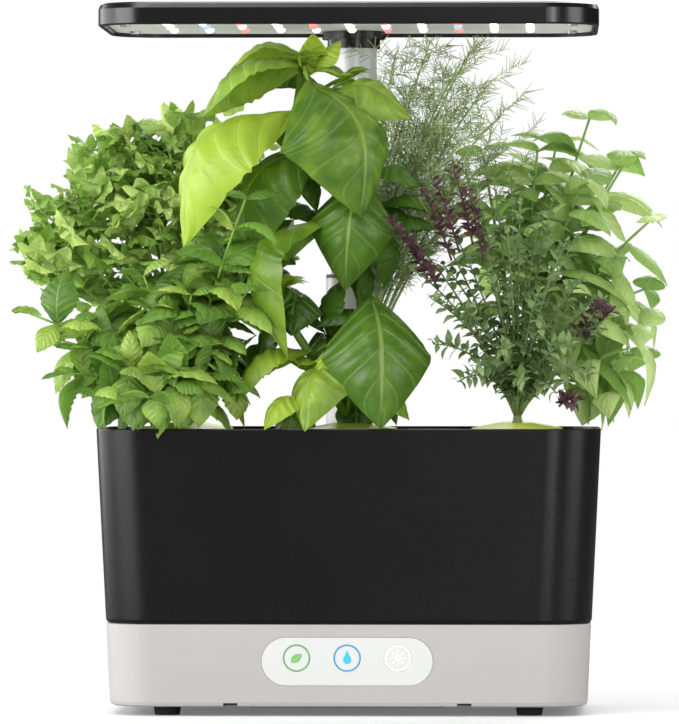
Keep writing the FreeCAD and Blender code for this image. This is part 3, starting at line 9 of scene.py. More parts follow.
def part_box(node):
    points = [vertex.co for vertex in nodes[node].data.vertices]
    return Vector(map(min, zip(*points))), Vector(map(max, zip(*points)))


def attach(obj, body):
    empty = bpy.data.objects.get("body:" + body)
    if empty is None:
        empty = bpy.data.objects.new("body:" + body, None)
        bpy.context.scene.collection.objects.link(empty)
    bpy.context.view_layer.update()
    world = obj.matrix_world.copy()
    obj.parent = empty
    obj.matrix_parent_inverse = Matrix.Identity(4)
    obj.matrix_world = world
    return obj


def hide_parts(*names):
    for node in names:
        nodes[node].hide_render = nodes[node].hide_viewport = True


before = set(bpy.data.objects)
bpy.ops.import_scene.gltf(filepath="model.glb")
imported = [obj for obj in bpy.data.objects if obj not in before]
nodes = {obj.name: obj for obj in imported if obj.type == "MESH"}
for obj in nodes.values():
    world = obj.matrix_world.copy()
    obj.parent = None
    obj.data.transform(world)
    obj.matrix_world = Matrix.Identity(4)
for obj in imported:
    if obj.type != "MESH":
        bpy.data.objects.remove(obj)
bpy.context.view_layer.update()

# The view: a long lens, level with the middle of the object and a little to the right of
# the axis, so the post stands just right of the middle of the bowl.
lens_mm = 328
sensor_mm = 36
view_limit = 50
camera_right = 0.104
camera_back = 3.536
camera_height = 0.1875
tilt = math.radians(90 - 0.0175)
aim_left = 0.00176
turn_left = math.atan(camera_right / camera_back) + aim_left
camera_data = bpy.data.cameras.new("camera")
camera_data.lens = lens_mm
camera_data.sensor_width = sensor_mm
camera_data.clip_end = view_limit
camera = bpy.data.objects.new("camera", camera_data)
camera.location = (camera_right, -camera_back, camera_height)
camera.rotation_euler = (tilt, 0, turn_left)
bpy.context.scene.collection.objects.link(camera)
bpy.context.scene.camera = camera
bpy.context.scene.view_settings.view_transform = "Standard"

# The colour inputs and the colour output of a Mix node, which share their names with others.
mix_colour_inputs = (6, 7)
mix_colour_output = 2


class Wave:
    """A shader socket that adds its own Math nodes when it is used in an expression."""

    def __init__(self, tree, socket):
        self.tree = tree
        self.socket = socket

    def fill(self, target, what):
        """Links a Wave to an input, or sets the input to a plain value."""
        if isinstance(what, Wave):
            self.tree.links.new(what.socket, target)
        else:
            target.default_value = what

    def node(self, kind, settings=None, **inputs):
        """Adds a node. An input named n0 or n1 is reached by its number."""
        made = self.tree.nodes.new(kind)
        for name, setting in (settings or {}).items():
            setattr(made, name, setting)
        for name, what in inputs.items():
            numbered = name[0] == "n" and name[1:].isdigit()
            key = int(name[1:]) if numbered else name.replace("_", " ")
            self.fill(made.inputs[key], what)
        return made

    def out(self, kind, output=0, settings=None, **inputs):
        return Wave(self.tree, self.node(kind, settings, **inputs).outputs[output])

    def math(self, operation, first, second=0.0):
        return self.out("ShaderNodeMath", 0, {"operation": operation}, n0=first, n1=second)

    def __add__(self, other):
        return self.math("ADD", self, other)

    def __sub__(self, other):
        return self.math("SUBTRACT", self, other)

    def __rsub__(self, other):
        return self.math("SUBTRACT", other, self)

    def __mul__(self, other):
        return self.math("MULTIPLY", self, other)

    def away(self):
        return self.math("ABSOLUTE", self)

    def sine(self):
        return self.math("SINE", self)

    def step(self, low, high):
        """0 below low, 1 above high, smooth between them."""
        settings = {"interpolation_type": "SMOOTHSTEP"}
        return self.out("ShaderNodeMapRange", 0, settings, Value=self, From_Min=low, From_Max=high)

    def blend(self, first, second):
        """First where this is 0, second where this is 1."""
        made = self.node("ShaderNodeMix", {"data_type": "RGBA"}, n0=self)
        for key, what in zip(mix_colour_inputs, (first, second)):
            self.fill(made.inputs[key], what if isinstance(what, Wave) else (*what, 1))
        return Wave(self.tree, made.outputs[mix_colour_output])


def new_finish(name):
    """A bare material, its principled shader, and a Wave to start expressions from."""
    material = bpy.data.materials.new(name)
    material.use_nodes = True
    shader = material.node_tree.nodes["Principled BSDF"]
    start = Wave(material.node_tree, None)
    return material, shader, start


def feed(shader, name, wave):
    wave.tree.links.new(wave.socket, shader.inputs[name])


def show_mix(start, share, first, second):
    """Shows the first shader where the share is 0, the second where it is 1."""
    links = start.tree.links
    mixer = start.node("ShaderNodeMixShader", None, n0=share)
    links.new(first.outputs[0], mixer.inputs[1])
    links.new(second.outputs[0], mixer.inputs[2])
    output = next(node for node in start.tree.nodes if node.type == "OUTPUT_MATERIAL")
    links.new(mixer.outputs[0], output.inputs[0])


def object_place(start):
    """Where a point lies in the coordinates of its own object."""
    return start.out("ShaderNodeTexCoord", "Object")


def speckle(start, scale, detail):
    """Noise on object coordinates; the scale is in spots per metre."""
    where = object_place(start)
    return start.out("ShaderNodeTexNoise", 0, None, Vector=where, Scale=scale, Detail=detail)


def bump_from(start, wave, strength, distance):
    return start.out("ShaderNodeBump", 0, None, Height=wave, Strength=strength, Distance=distance)


def to_data(name, mesh):
    """Turns a finished bmesh into mesh data."""
    data = bpy.data.meshes.new(name)
    mesh.to_mesh(data)
    mesh.free()
    return data


# The table and the light: a pale floor that keeps the soft shadow and fades to white away
# from the base, white behind, wide soft walls on the left that glint on the rounded left
# corner, a narrow strip and a wall on the right, and soft light from above for the leaves.
floor_size = 8
floor_tone = (0.9, 0.9, 0.9)
floor_tone_in_gloss = (0.12, 0.12, 0.12)
fade_start = 0.12
fade_end = 0.42
least_white = 0.15
world_light = 0.42
world_gloss_cut = 0.39
floor_mesh = bmesh.new()
bmesh.ops.create_grid(floor_mesh, x_segments=1, y_segments=1, size=floor_size)
floor_data = to_data("floor", floor_mesh)
floor = bpy.data.objects.new("floor", floor_data)
bpy.context.scene.collection.objects.link(floor)
floor_finish, floor_shader, start = new_finish("pale_floor")
mirrored = start.out("ShaderNodeLightPath", "Is Glossy Ray")
feed(floor_shader, "Base Color", mirrored.blend(floor_tone, floor_tone_in_gloss))
floor_shader.inputs["Roughness"].default_value = 0.8
floor_shader.inputs["Specular IOR Level"].default_value = 0.0
seen = start.out("ShaderNodeLightPath", "Is Camera Ray")
where = object_place(start)
reach = start.out("ShaderNodeVectorMath", "Value", {"operation": "LENGTH"}, n0=where)
white = start.node("ShaderNodeEmission", None, Color=(1, 1, 1, 1), Strength=1.0)
whiteness = reach.step(fade_start, fade_end) * (1 - least_white) + least_white
show_mix(start, seen * whiteness, floor_shader, white)
floor_data.materials.append(floor_finish)

world = bpy.data.worlds.new("studio")
bpy.context.scene.world = world
world.use_nodes = True
sky = Wave(world.node_tree, None)
direct = sky.out("ShaderNodeLightPath", "Is Camera Ray")
through = sky.out("ShaderNodeLightPath", "Is Transmission Ray")
glossy = sky.out("ShaderNodeLightPath", "Is Glossy Ray")
clear = direct.math("MAXIMUM", direct, through)
backdrop = world.node_tree.nodes["Background"]
backdrop.inputs["Color"].default_value = (1, 1, 1, 1)
power = clear + (1 - clear) * (world_light - glossy * world_gloss_cut)
world.node_tree.links.new(power.socket, backdrop.inputs["Strength"])


def add_softbox(name, place, aim, width, height, watts):
    """A rectangular lamp that faces the point it is aimed at."""
    data = bpy.data.lights.new(name, "AREA")
    data.shape = "RECTANGLE"
    data.size = width
    data.size_y = height
    data.energy = watts
    lamp = bpy.data.objects.new(name, data)
    lamp.location = place
    lamp.rotation_euler = (Vector(aim) - Vector(place)).to_track_quat("-Z", "Y").to_euler()
    bpy.context.scene.collection.objects.link(lamp)


add_softbox("left_wall", (-1.9, -1.1, 0.35), (0, 0, 0.15), 1.7, 1.6, 62)
add_softbox("left_rear_wall", (-1.9, 0.75, 0.35), (0, 0, 0.15), 2.1, 1.6, 36)
add_softbox("right_strip", (0.72, -2.3, 0.3), (0, 0, 0.15), 0.32, 1.4, 17)
add_softbox("right_wall", (2.0, -0.9, 0.4), (0, 0, 0.15), 1.2, 1.4, 24)
add_softbox("upper_box", (-0.7, -1.5, 1.9), (0, 0, 0.22), 1.2, 0.9, 22)
add_softbox("back_box", (0.5, 1.5, 1.3), (0, 0, 0.25), 1.6, 1.0, 26)

# Moulded plastics. The bowl, deck and hood are satin black with a fine spark-eroded grain,
# and the base is a warm stone grey. The panel, feet, foam, boards and inner parts use the
# same recipe with their own colour, gloss and grain.
drift_scale = 9.0
grain_range = (0.35, 0.65)
mottle_range = (0.3, 0.7)


def moulded(name, colour, roughness, grain, depth, spread=0.12, specular=0.5):
    """A moulded plastic: a fine even grain, and slow faint drifts of tone and gloss."""
    material, shader, start = new_finish(name)
    fine = speckle(start, grain, 2.0)
    slow = speckle(start, drift_scale, 2.0)
    light = tuple(min(channel * (1 + spread), 1) for channel in colour)
    dark = tuple(channel * (1 - spread) for channel in colour)
    feed(shader, "Base Color", (fine * 0.5 + slow * 0.5).step(*grain_range).blend(dark, light))
    feed(shader, "Roughness", slow * 0.08 + fine * 0.08 + (roughness - 0.08))
    feed(shader, "Normal", bump_from(start, fine, 0.35, depth))
    shader.inputs["Specular IOR Level"].default_value = specular
    return material


black_satin = moulded("black_satin", (0.0055, 0.0055, 0.006), 0.27, 2600, 0.0001, 0.12, 0.4)
hood_black = moulded("hood_black", (0.006, 0.006, 0.0065), 0.24, 2200, 0.00005, 0.12, 0.45)
stone_grey = moulded("stone_grey", (0.37, 0.358, 0.352), 0.5, 2400, 0.00006, 0.03, 0.3)
plain_dark = moulded("plain_dark", (0.02, 0.02, 0.022), 0.5, 1800, 0.00008)
plain_white = moulded("plain_white", (0.82, 0.82, 0.82), 0.42, 1500, 0.00003, 0.02)
panel_grey = moulded("panel_grey", (0.55, 0.56, 0.545), 0.36, 1500, 0.00002, 0.01, 0.3)
foot_rubber = moulded("foot_rubber", (0.018, 0.018, 0.018), 0.75, 1800, 0.00012, 0.2, 0.3)
foam = moulded("foam", (0.06, 0.04, 0.025), 0.9, 900, 0.0006, 0.4, 0.1)
board_green = moulded("board_green", (0.02, 0.11, 0.045), 0.4, 700, 0.00002, 0.15)


def brushed(name, colour, roughness, metallic):
    """Satin metal with fine streaks that run up the piece."""
    material, shader, start = new_finish(name)
    where = object_place(start)
    stretched = start.out("ShaderNodeMapping", 0, None, Vector=where, Scale=(1800, 1800, 40))
    streaks = start.out("ShaderNodeTexNoise", 0, None, Vector=stretched, Scale=1.0, Detail=3.0)
    light = tuple(min(channel * 1.04, 1) for channel in colour)
    dark = tuple(channel * 0.95 for channel in colour)
    feed(shader, "Base Color", streaks.step(*grain_range).blend(dark, light))
    feed(shader, "Roughness", streaks * 0.12 + (roughness - 0.06))
    feed(shader, "Normal", bump_from(start, streaks, 0.15, 0.00004))
    shader.inputs["Metallic"].default_value = metallic
    return material


post_satin = brushed("post_satin", (0.66, 0.655, 0.68), 0.42, 0.25)
screw_steel = brushed("screw_steel", (0.5, 0.5, 0.52), 0.35, 1.0)


def lamp_dome(name, colour, strength):
    """A glossy lit lamp of one colour, a little mottled."""
    material, shader, start = new_finish(name)
    tone = speckle(start, 500, 1.0)
    pale = tuple(min(channel * 1.1, 1) for channel in colour)
    for target in ("Base Color", "Emission Color"):
        feed(shader, target, tone.step(*mottle_range).blend(colour, pale))
    shader.inputs["Emission Strength"].default_value = strength
    shader.inputs["Roughness"].default_value = 0.2
    return material


def label_film(name):
    """Film over a pod: a mottled yellow-green."""
    material, shader, start = new_finish(name)
    mottle = speckle(start, 160, 3.0)
    feed(shader, "Base Color", mottle.step(*mottle_range).blend((0.52, 0.62, 0.06), (0.66, 0.72, 0.13)))
    feed(shader, "Roughness", mottle * 0.15 + 0.3)
    return material


node_finishes = {
    black_satin: ["bowl", "grow_deck", "fill_flap"],
    hood_black: ["hood_shell", "post_collar"],
    stone_grey: ["base_shell"],
    plain_dark: [
        "bottom_plate", "switches", "dc_inlet", "level_sensor", "pump_contacts", "sleeve_bush",
        "pump_housing", "pump_cover", "float_guide", *(f"basket_{n}" for n in range(1, 7)),
    ],
    plain_white: ["light_panel", "impeller", "level_float"],
    panel_grey: ["control_overlay", "feed_button", "light_button", "water_lens"],
    foot_rubber: ["feet"],
    foam: ["grow_sponges", "pump_filter"],
    board_green: ["control_board", "power_board"],
    post_satin: ["post_sleeve", "lamp_post", "led_board"],
    screw_steel: ["bottom_screws", "hood_screws", "impeller_shaft", "contact_plates", "flap_pin"],
    lamp_dome("white_lamps", (0.95, 0.97, 1.0), 2.2): ["white_leds"],
    lamp_dome("red_lamps", (1.0, 0.22, 0.2), 1.0): ["red_leds"],
    lamp_dome("blue_lamps", (0.25, 0.35, 1.0), 1.2): ["blue_leds"],
    lamp_dome("indicator_lamps", (0.9, 0.9, 0.85), 0.2): ["indicator_leds"],
    label_film("label_film"): [f"label_{n}" for n in range(1, 7)],
}
for finish, names in node_finishes.items():
    for name in names:
        slots = nodes[name].data.materials
        slots.clear()
        slots.append(finish)


def new_piece(name, mesh, body, slot, *finishes):
    """Turns a finished bmesh into a piece that rides on a body."""
    data = to_data(name, mesh)
    for finish in finishes:
        data.materials.append(finish)
    piece = bpy.data.objects.new(name, data)
    bpy.context.scene.collection.objects.link(piece)
    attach(piece, body)
    return piece


# The marks on the three round windows: thin screen-printed inks, a ring and a leaf in
# green, a ring and a drop in blue, and a white ring round a sun. Each lies on its face.
ink_lift = 0.00004
ink_depth = 0.00012
ring_line = 0.0007
window_radius = 0.007


def ink(name, colour, roughness=0.45):
    """A printed ink, a little mottled."""
    material, shader, start = new_finish(name)
    mottle = speckle(start, 1800, 2.0)
    pale = tuple(min(channel * 1.06 + 0.005, 1) for channel in colour)
    feed(shader, "Base Color", mottle.step(*mottle_range).blend(colour, pale))
    shader.inputs["Roughness"].default_value = roughness
    return material


def on_face(mesh, node):
    """Stands a flat drawing up against the front of a button face, centred on it."""
    low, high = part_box(node)
    middle = (low + high) / 2
    upright = Matrix.Rotation(math.pi / 2, 4, "X")
    stand = Matrix.Translation((middle.x, low.y - ink_lift, middle.z)) @ upright
    bmesh.ops.transform(mesh, matrix=stand, verts=mesh.verts)
    return mesh


def thicken(mesh):
    """Gives a flat drawing the depth of its ink."""
    bmesh.ops.recalc_face_normals(mesh, faces=mesh.faces)
    bmesh.ops.solidify(mesh, geom=mesh.faces, thickness=ink_depth)
    bmesh.ops.recalc_face_normals(mesh, faces=mesh.faces)


def draw_ring(outer, line, steps=72):
    """A flat ring of a given outer radius and line width."""
    mesh = bmesh.new()
    inner = mesh.verts.new((outer - line, 0, 0))
    rim = mesh.verts.new((outer, 0, 0))
    edge = mesh.edges.new((inner, rim))
    bmesh.ops.spin(
        mesh, geom=[inner, rim, edge], cent=(0, 0, 0), axis=(0, 0, 1),
        steps=steps, angle=2 * math.pi, use_merge=True,
    )
    return mesh


def draw_outline(mesh, points):
    """A flat shape from its corners, in the order they are joined."""
    corners = [mesh.verts.new((x, y, 0)) for x, y in points]
    mesh.faces.new(corners)


def leaf_mark():
    """A leaf that leans right, split by its midrib."""
    mesh = bmesh.new()
    length = 0.0074
    for side in (1, -1):
        points = []
        for step in range(13):
            share = step / 12
            bulge = math.sin(math.pi * share ** 0.85) * length * 0.27
            points.append((share * length - length / 2, side * (bulge + 0.00012)))
        draw_outline(mesh, points)
    bmesh.ops.rotate(mesh, verts=mesh.verts, matrix=Matrix.Rotation(math.radians(38), 3, "Z"))
    return mesh


def drop_mark():
    """A drop: a round belly under a point."""
    mesh = bmesh.new()
    belly = 0.00225
    points = []
    for step in range(25):
        angle = math.radians(-220 + 260 * step / 24)
        points.append((belly * math.cos(angle), belly * math.sin(angle) - 0.0009))
    points.append((0, 0.0042))
    draw_outline(mesh, points)
    return mesh


def sun_mark():
    """A disc with eight short rays."""
    mesh = bmesh.new()
    bmesh.ops.create_circle(mesh, cap_ends=True, segments=32, radius=0.0016)
    for number in range(8):
        turn = Matrix.Rotation(number * math.pi / 4, 3, "Z")
        half = 0.00022
        corners = [(0.0024, -half), (0.0040, -half), (0.0040, half), (0.0024, half)]
        draw_outline(mesh, [tuple(turn @ Vector((x, y, 0)))[:2] for x, y in corners])
    return mesh


window_marks = [
    ("feed_mark", "feed_button", "feed_key", leaf_mark, (0.12, 0.36, 0.12), (0.16, 0.42, 0.12)),
    ("water_mark", "water_lens", "base", drop_mark, (0.03, 0.30, 0.55), (0.03, 0.42, 0.66)),
    ("light_mark", "light_button", "light_key", sun_mark, (0.9, 0.9, 0.9), (0.95, 0.95, 0.95)),
]
for name, node, body, draw, ring_colour, mark_colour in window_marks:
    for suffix, mesh, colour in (
        ("ring", draw_ring(window_radius, ring_line), ring_colour),
        ("figure", draw(), mark_colour),
    ):
        thicken(mesh)
        printed = ink(f"{name}_{suffix}_ink", colour)
        new_piece(f"{name}_{suffix}", on_face(mesh, node), body, "panel", printed)

# Leaves. A blade starts as a small grid with its outline, quilted skin and sunken midrib,
# or as a frilled disc, and is then laid along a curved line from its stalk to its tip.
vein_slant = 1.6
light_through = 0.3
spiral_turn = 2.4
crown_lift = 0.002
crown_depth = 0.012
crown_rise = 0.004


def new_plant_mesh():
    """An empty mesh with a map for the veins and a map for the tone of each blade."""
    mesh = bmesh.new()
    mesh.loops.layers.uv.new("blade")
    mesh.loops.layers.uv.new("tone")
    return mesh


def blade_shape(name, outline, across, along, quilt=0.0, veins=7, cup=0.0, tooth=0.0, teeth=9):
    """A unit blade: x across from -0.5 to 0.5, y from 0 at the stalk to 1 at the tip."""
    mesh = new_plant_mesh()
    bmesh.ops.create_grid(mesh, x_segments=across, y_segments=along, size=0.5, calc_uvs=True)
    for vert in mesh.verts:
        side = vert.co.x * 2
        off_rib = abs(side)
        share = vert.co.y + 0.5
        width = outline(share)
        if off_rib > 0.99 and tooth:
            width *= 1 - tooth * ((share * teeth) % 1)
        rib = math.cos(2 * math.pi * (share * veins - off_rib * vein_slant))
        puff = quilt * rib * min(1, 3 * off_rib) * (1 - 0.6 * off_rib)
        puff *= math.sin(math.pi * min(share * 1.05, 1))
        groove = 0.03 * (1 - min(1, off_rib * 6))
        height = cup * side * side * width + puff - groove
        vert.co = Vector((side * width / 2, share, height))
    return to_data(name, mesh)


def oval(peak, tip):
    """An outline that is widest at peak, rounded at the stalk and drawn out at the tip."""

    def width(share):
        if share <= peak:
            return max(0.02, math.sin(0.5 * math.pi * (share / peak)) ** 0.7)
        rest = (share - peak) / (1 - peak)
        return max(0.0, 1 - rest**tip) if rest < 1 else 0.0

    return width


broad_blade = blade_shape("broad_blade", oval(0.46, 2.5), 16, 28, quilt=0.04, veins=6, cup=-0.34)
slim_blade = blade_shape("slim_blade", oval(0.4, 1.9), 6, 12, quilt=0.015, veins=6, cup=-0.2)
mint_blade = blade_shape(
    "mint_blade", oval(0.42, 2.2), 8, 21, quilt=0.03, veins=7, cup=-0.2, tooth=0.14, teeth=7
)


def frilled_shape(name, lobes, points=30):
    """A fan of rounded lobes whose scalloped edge ruffles up and down."""
    mesh = new_plant_mesh()
    bmesh.ops.create_circle(mesh, cap_ends=True, cap_tris=True, segments=points, radius=1)
    spokes = [edge for edge in mesh.edges if min(vert.co.length for vert in edge.verts) < 0.1]
    bmesh.ops.subdivide_edges(mesh, edges=spokes, cuts=2)
    for vert in mesh.verts:
        share = min(vert.co.length, 1)
        angle = math.atan2(vert.co.x, vert.co.y)
        reach = 0.32 + 0.2 * abs(math.cos(angle * lobes / 2)) + 0.04 * math.cos(angle * lobes * 4)
        reach *= 0.55 + 0.45 * math.cos(angle / 2)
        ruffle = 0.10 * share**2 * math.cos(angle * lobes + 0.6) - 0.07 * share**2
        ahead = Vector((math.sin(angle), math.cos(angle), 0)) * share * reach * 1.25
        vert.co = Vector((ahead.x, ahead.y + 0.35, ruffle))
    layer = mesh.loops.layers.uv["blade"]
    for face in mesh.faces:
        for loop in face.loops:
            loop[layer].uv = (loop.vert.co.x + 0.5, loop.vert.co.y)
    return to_data(name, mesh)


lobed_blade = frilled_shape("lobed_blade", 5)
tiny_blade = blade_shape("tiny_blade", oval(0.4, 1.6), 2, 4, cup=-0.1)


def stamp(mesh, shape):
    """Adds a copy of a finished shape and returns the points and faces it added."""
    first_vert = len(mesh.verts)
    first_face = len(mesh.faces)
    mesh.from_mesh(shape)
    mesh.verts.ensure_lookup_table()
    mesh.faces.ensure_lookup_table()
    return mesh.verts[first_vert:], mesh.faces[first_face:]


def tint(mesh, faces, tone, light):
    """Writes one tone and one light to faces; the leaf finishes read both, the light as painted light and
    shade on each blade.
    """
    layer = mesh.loops.layers.uv["tone"]
    for face in faces:
        for loop in face.loops:
            loop[layer].uv = (tone, light)


def smooth(faces):
    for face in faces:
        face.smooth = True


def lay_blade(mesh, shape, root, tip, width, bend, roll, hang, tone, light):
    """Adds one blade to a plant along a curve from root to tip; bend arches it upwards and
    hang lets its last part droop."""
    run = tip - root
    length = run.length
    ahead = run.normalized()
    side = ahead.cross(Vector((0, 0, 1)))
    if side.length < 0.2:
        side = Vector((1, 0, 0)) - ahead * ahead.x
    side.normalize()
    side = Matrix.Rotation(roll, 3, ahead) @ side
    upper = side.cross(ahead).normalized()
    verts, faces = stamp(mesh, shape)
    for vert in verts:
        share = vert.co.y
        rise = bend * math.sin(math.pi * share) - hang * share**3
        slope = bend * math.pi * math.cos(math.pi * share) - 3 * hang * share**2
        out = (upper - ahead * slope).normalized()
        centre = root + run * share + upper * rise * length
        vert.co = centre + side * (vert.co.x * width) + out * (vert.co.z * width)
    smooth(faces)
    tint(mesh, faces, tone, light)


def add_part(mesh, part):
    """Joins a finished part to its plant."""
    data = to_data("part", part)
    mesh.from_mesh(data)
    bpy.data.meshes.remove(data)


def lay_stem(mesh, points, thick, thin, sides=6, tone=0.5, light=0.5):
    """A round tapered stem swept along its points."""
    across = (points[-1] - points[0]).cross(Vector((0.3, 1, 0.1))).normalized()
    rings = []
    for index, point in enumerate(points):
        ahead = points[min(index + 1, len(points) - 1)] - points[max(index - 1, 0)]
        first = (across - ahead * across.dot(ahead) / ahead.length_squared).normalized()
        second = ahead.cross(first).normalized()
        radius = thick + (thin - thick) * index / (len(points) - 1)
        made = bmesh.ops.create_circle(mesh, segments=sides, radius=radius)["verts"]
        frame_of = Matrix((first, second, ahead.normalized())).transposed().to_4x4()
        bmesh.ops.transform(mesh, matrix=Matrix.Translation(point) @ frame_of, verts=made)
        rings.append(list({edge for vert in made for edge in vert.link_edges}))
    for lower, upper in zip(rings, rings[1:]):
        skin = bmesh.ops.bridge_loops(mesh, edges=lower + upper)["faces"]
        smooth(skin)
        tint(mesh, skin, tone, light)
    for ring in (rings[0], rings[-1]):
        bmesh.ops.contextual_create(mesh, geom=ring)


def curve_points(root, bend, tip, steps=8):
    """Points on a curve that leaves the root towards bend and ends at the tip."""
    shares = [step / steps for step in range(steps + 1)]
    return [
        root * (1 - share) ** 2 + bend * 2 * share * (1 - share) + tip * share**2
        for share in shares
    ]


def leaf_skin(name, deep, mid, painted_lit_colour, rib, veins, gloss, depth):
    """A living leaf: tone by blade and by patch, painted light and shade by blade and by patch that blends
    towards a painted lit green, pale ribs on the blade's own map, soft shine, and some light that comes
    through."""
    material, shader, start = new_finish(name)
    blade = start.node("ShaderNodeUVMap", {"uv_map": "blade"})
    tone = start.node("ShaderNodeUVMap", {"uv_map": "tone"})
    split = start.node("ShaderNodeSeparateXYZ", None, Vector=Wave(start.tree, blade.outputs[0]))
    toned = start.node("ShaderNodeSeparateXYZ", None, Vector=Wave(start.tree, tone.outputs[0]))
    across = (Wave(start.tree, split.outputs[0]) - 0.5).away() * 2
    along = Wave(start.tree, split.outputs[1])
    shade = Wave(start.tree, toned.outputs[0])
    light = Wave(start.tree, toned.outputs[1])
    patch = speckle(start, 70, 3.0)
    fine = speckle(start, 900, 3.0)
    wave = ((along * veins - across * vein_slant) * (2 * math.pi)).sine()
    side_rib = wave.step(0.88, 1.0) * across.step(0.02, 0.1)
    middle_rib = 1 - across.step(0.015, 0.06)
    ribs = side_rib * 0.4 + middle_rib * (1 - side_rib * 0.4)
    mixed = shade * 0.7 + patch * 0.55 + fine * 0.15 - 0.2
    body = mixed.step(0.0, 0.8).blend(deep, mid)
    # Painted light: each blade's light value, with patches, blends its colour towards the painted lit green.
    lit = (light + patch * 0.5 - 0.25).step(0.3, 0.95).blend(body, painted_lit_colour)
    colour = (ribs * 0.5).blend(lit, rib)
    feed(shader, "Base Color", colour)
    feed(shader, "Roughness", fine * 0.12 + (gloss - 0.06))
    height = wave * -0.35 + ribs * -0.8 + fine * 0.3
    feed(shader, "Normal", bump_from(start, height, 0.5, depth))
    shader.inputs["Specular IOR Level"].default_value = 0.5
    glow = start.node("ShaderNodeBsdfTranslucent")
    start.tree.links.new(colour.socket, glow.inputs["Color"])
    show_mix(start, light_through, shader, glow)
    return material


def pod_crown(label):
    """The point above a pod where its stems part, from its label's place."""
    low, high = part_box(label)
    return Vector(((low.x + high.x) / 2, (low.y + high.y) / 2, high.z + crown_lift))


def finish_plant(name, mesh, material, slot):
    """Evens the facing of the stems' larger end caps and puts the plant in its solid's place."""
    caps = [face for face in mesh.faces if len(face.verts) > 4]
    bmesh.ops.recalc_face_normals(mesh, faces=caps)
    piece = new_piece(f"{name}_plant", mesh, "tank", slot, material)
    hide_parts(name)


def plant_crown(mesh, crown, radius, tone):
    """The bundle of stems that comes up through the label."""
    for number in range(5):
        angle = number * 2 * math.pi / 5
        foot = crown + Vector((radius * math.cos(angle), radius * math.sin(angle), -crown_depth))
        top = crown + Vector((0, 0, crown_rise))
        lay_stem(mesh, [foot, top], 0.0016, 0.0014, 6, tone, tone)


def mm(x, y, z):
    """A place in metres from its millimetres."""
    return Vector((x, y, z)) / 1000


# Large-leaf basil in the front middle pod: two thick stems, and big quilted blades that
# cup and hang. Root, tip and width of each are set one by one, in millimetres. Smaller blades
# with painted shade, dark in tone and light, fill the space behind them, and rosettes of small ones stand at
# four places.
basil_crown = pod_crown("label_2")
basil = new_plant_mesh()
basil_green = leaf_skin(
    "basil_leaf", (0.035, 0.10, 0.010), (0.13, 0.27, 0.022), (0.38, 0.54, 0.045),
    (0.34, 0.48, 0.12), veins=6, gloss=0.34, depth=0.0014,
)
basil_top = 0.352
basil_stems = [
    [
        mm(-1, -44, 158), mm(-20, -46, 190), mm(-37, -44, 216),
        mm(-37, -42, 256), mm(-31, -38, 305), mm(-25, -36, 345),
    ],
    [mm(1, -42, 158), mm(6, -38, 200), mm(6, -34, 250), mm(2, -34, 300), mm(0, -36, 336)],
]
for stem in basil_stems:
    lay_stem(basil, stem, 0.0028, 0.0014, 8, 0.7, 0.45)
plant_crown(basil, basil_crown, 0.004, 0.6)
# Each row: root, tip, width, bend, roll, hang, tone, light; the light is painted light and shade on the
# blade.
basil_blades = [
    (mm(-24, -38, 344), mm(-80, -50, 321), 42, 0.22, 0.35, 0.1, 0.45, 0.55),
    (mm(-22, -30, 348), mm(-66, -26, 343), 30, 0.25, 0.5, 0.1, 0.7, 0.75),
    (mm(-22, -36, 338), mm(-19, -42, 361), 17, 0.10, 0.0, 0.0, 0.9, 1.0),
    (mm(-18, -36, 342), mm(-4, -38, 357), 17, 0.15, 0.6, 0.0, 0.8, 0.85),
    (mm(-14, -38, 326), mm(33, -52, 319), 40, 0.28, 0.5, 0.1, 0.55, 0.55),
    (mm(-22, -46, 336), mm(8, -70, 262), 76, 0.30, 0.15, 0.0, 0.35, 0.42),
    (mm(6, -42, 286), mm(-2, -62, 226), 46, 0.28, -0.3, 0.1, 0.35, 0.3),
    (mm(-28, -42, 320), mm(-88, -62, 248), 64, 0.32, -0.15, 0.02, 0.7, 0.85),
    (mm(-16, -38, 304), mm(-60, -50, 238), 48, 0.28, -0.4, 0.1, 0.35, 0.40),
    (mm(-6, -46, 264), mm(-40, -70, 192), 48, 0.40, 0.5, 0.12, 0.45, 0.50),
    (mm(12, -48, 222), mm(18, -84, 151), 58, 0.28, 0.0, 0.0, 0.30, 0.28),
    (mm(-2, -50, 182), mm(-24, -84, 154), 42, 0.32, 0.1, 0.1, 0.40, 0.60),
    (mm(-20, -48, 192), mm(-62, -64, 168), 34, 0.26, 0.2, 0.1, 0.55, 0.60),
    (mm(-18, -38, 218), mm(-52, -50, 188), 32, 0.24, 0.2, 0.1, 0.10, 0.12),
    (mm(-4, -54, 196), mm(-14, -74, 174), 20, 0.20, 0.0, 0.0, 0.85, 0.9),
    (mm(-24, -60, 168), mm(-44, -84, 154), 20, 0.20, 0.0, 0.1, 0.7, 0.75),
    (mm(2, -50, 176), mm(34, -74, 160), 28, 0.20, 0.0, 0.1, 0.5, 0.5),
    # Blades behind the stems, painted dark in tone and light for the shade there.
    (mm(-6, -34, 250), mm(12, -30, 212), 34, 0.25, 0.0, 0.1, 0.1, 0.1),
    (mm(-2, -34, 232), mm(-12, -40, 196), 34, 0.25, 0.4, 0.1, 0.15, 0.15),
    (mm(8, -30, 216), mm(-8, -36, 180), 34, 0.25, 0.0, 0.1, 0.1, 0.1),
    (mm(-14, -34, 290), mm(8, -36, 262), 34, 0.25, 0.0, 0.1, 0.15, 0.15),
    (mm(14, -34, 262), mm(22, -36, 226), 30, 0.25, 0.0, 0.1, 0.2, 0.2),
    (mm(-30, -40, 262), mm(-62, -52, 226), 34, 0.25, 0.3, 0.1, 0.3, 0.3),
]
chance = random.Random(4)
filler_blades = 34
filler_low = 166
filler_step = 5.2
filler_length = 0.034
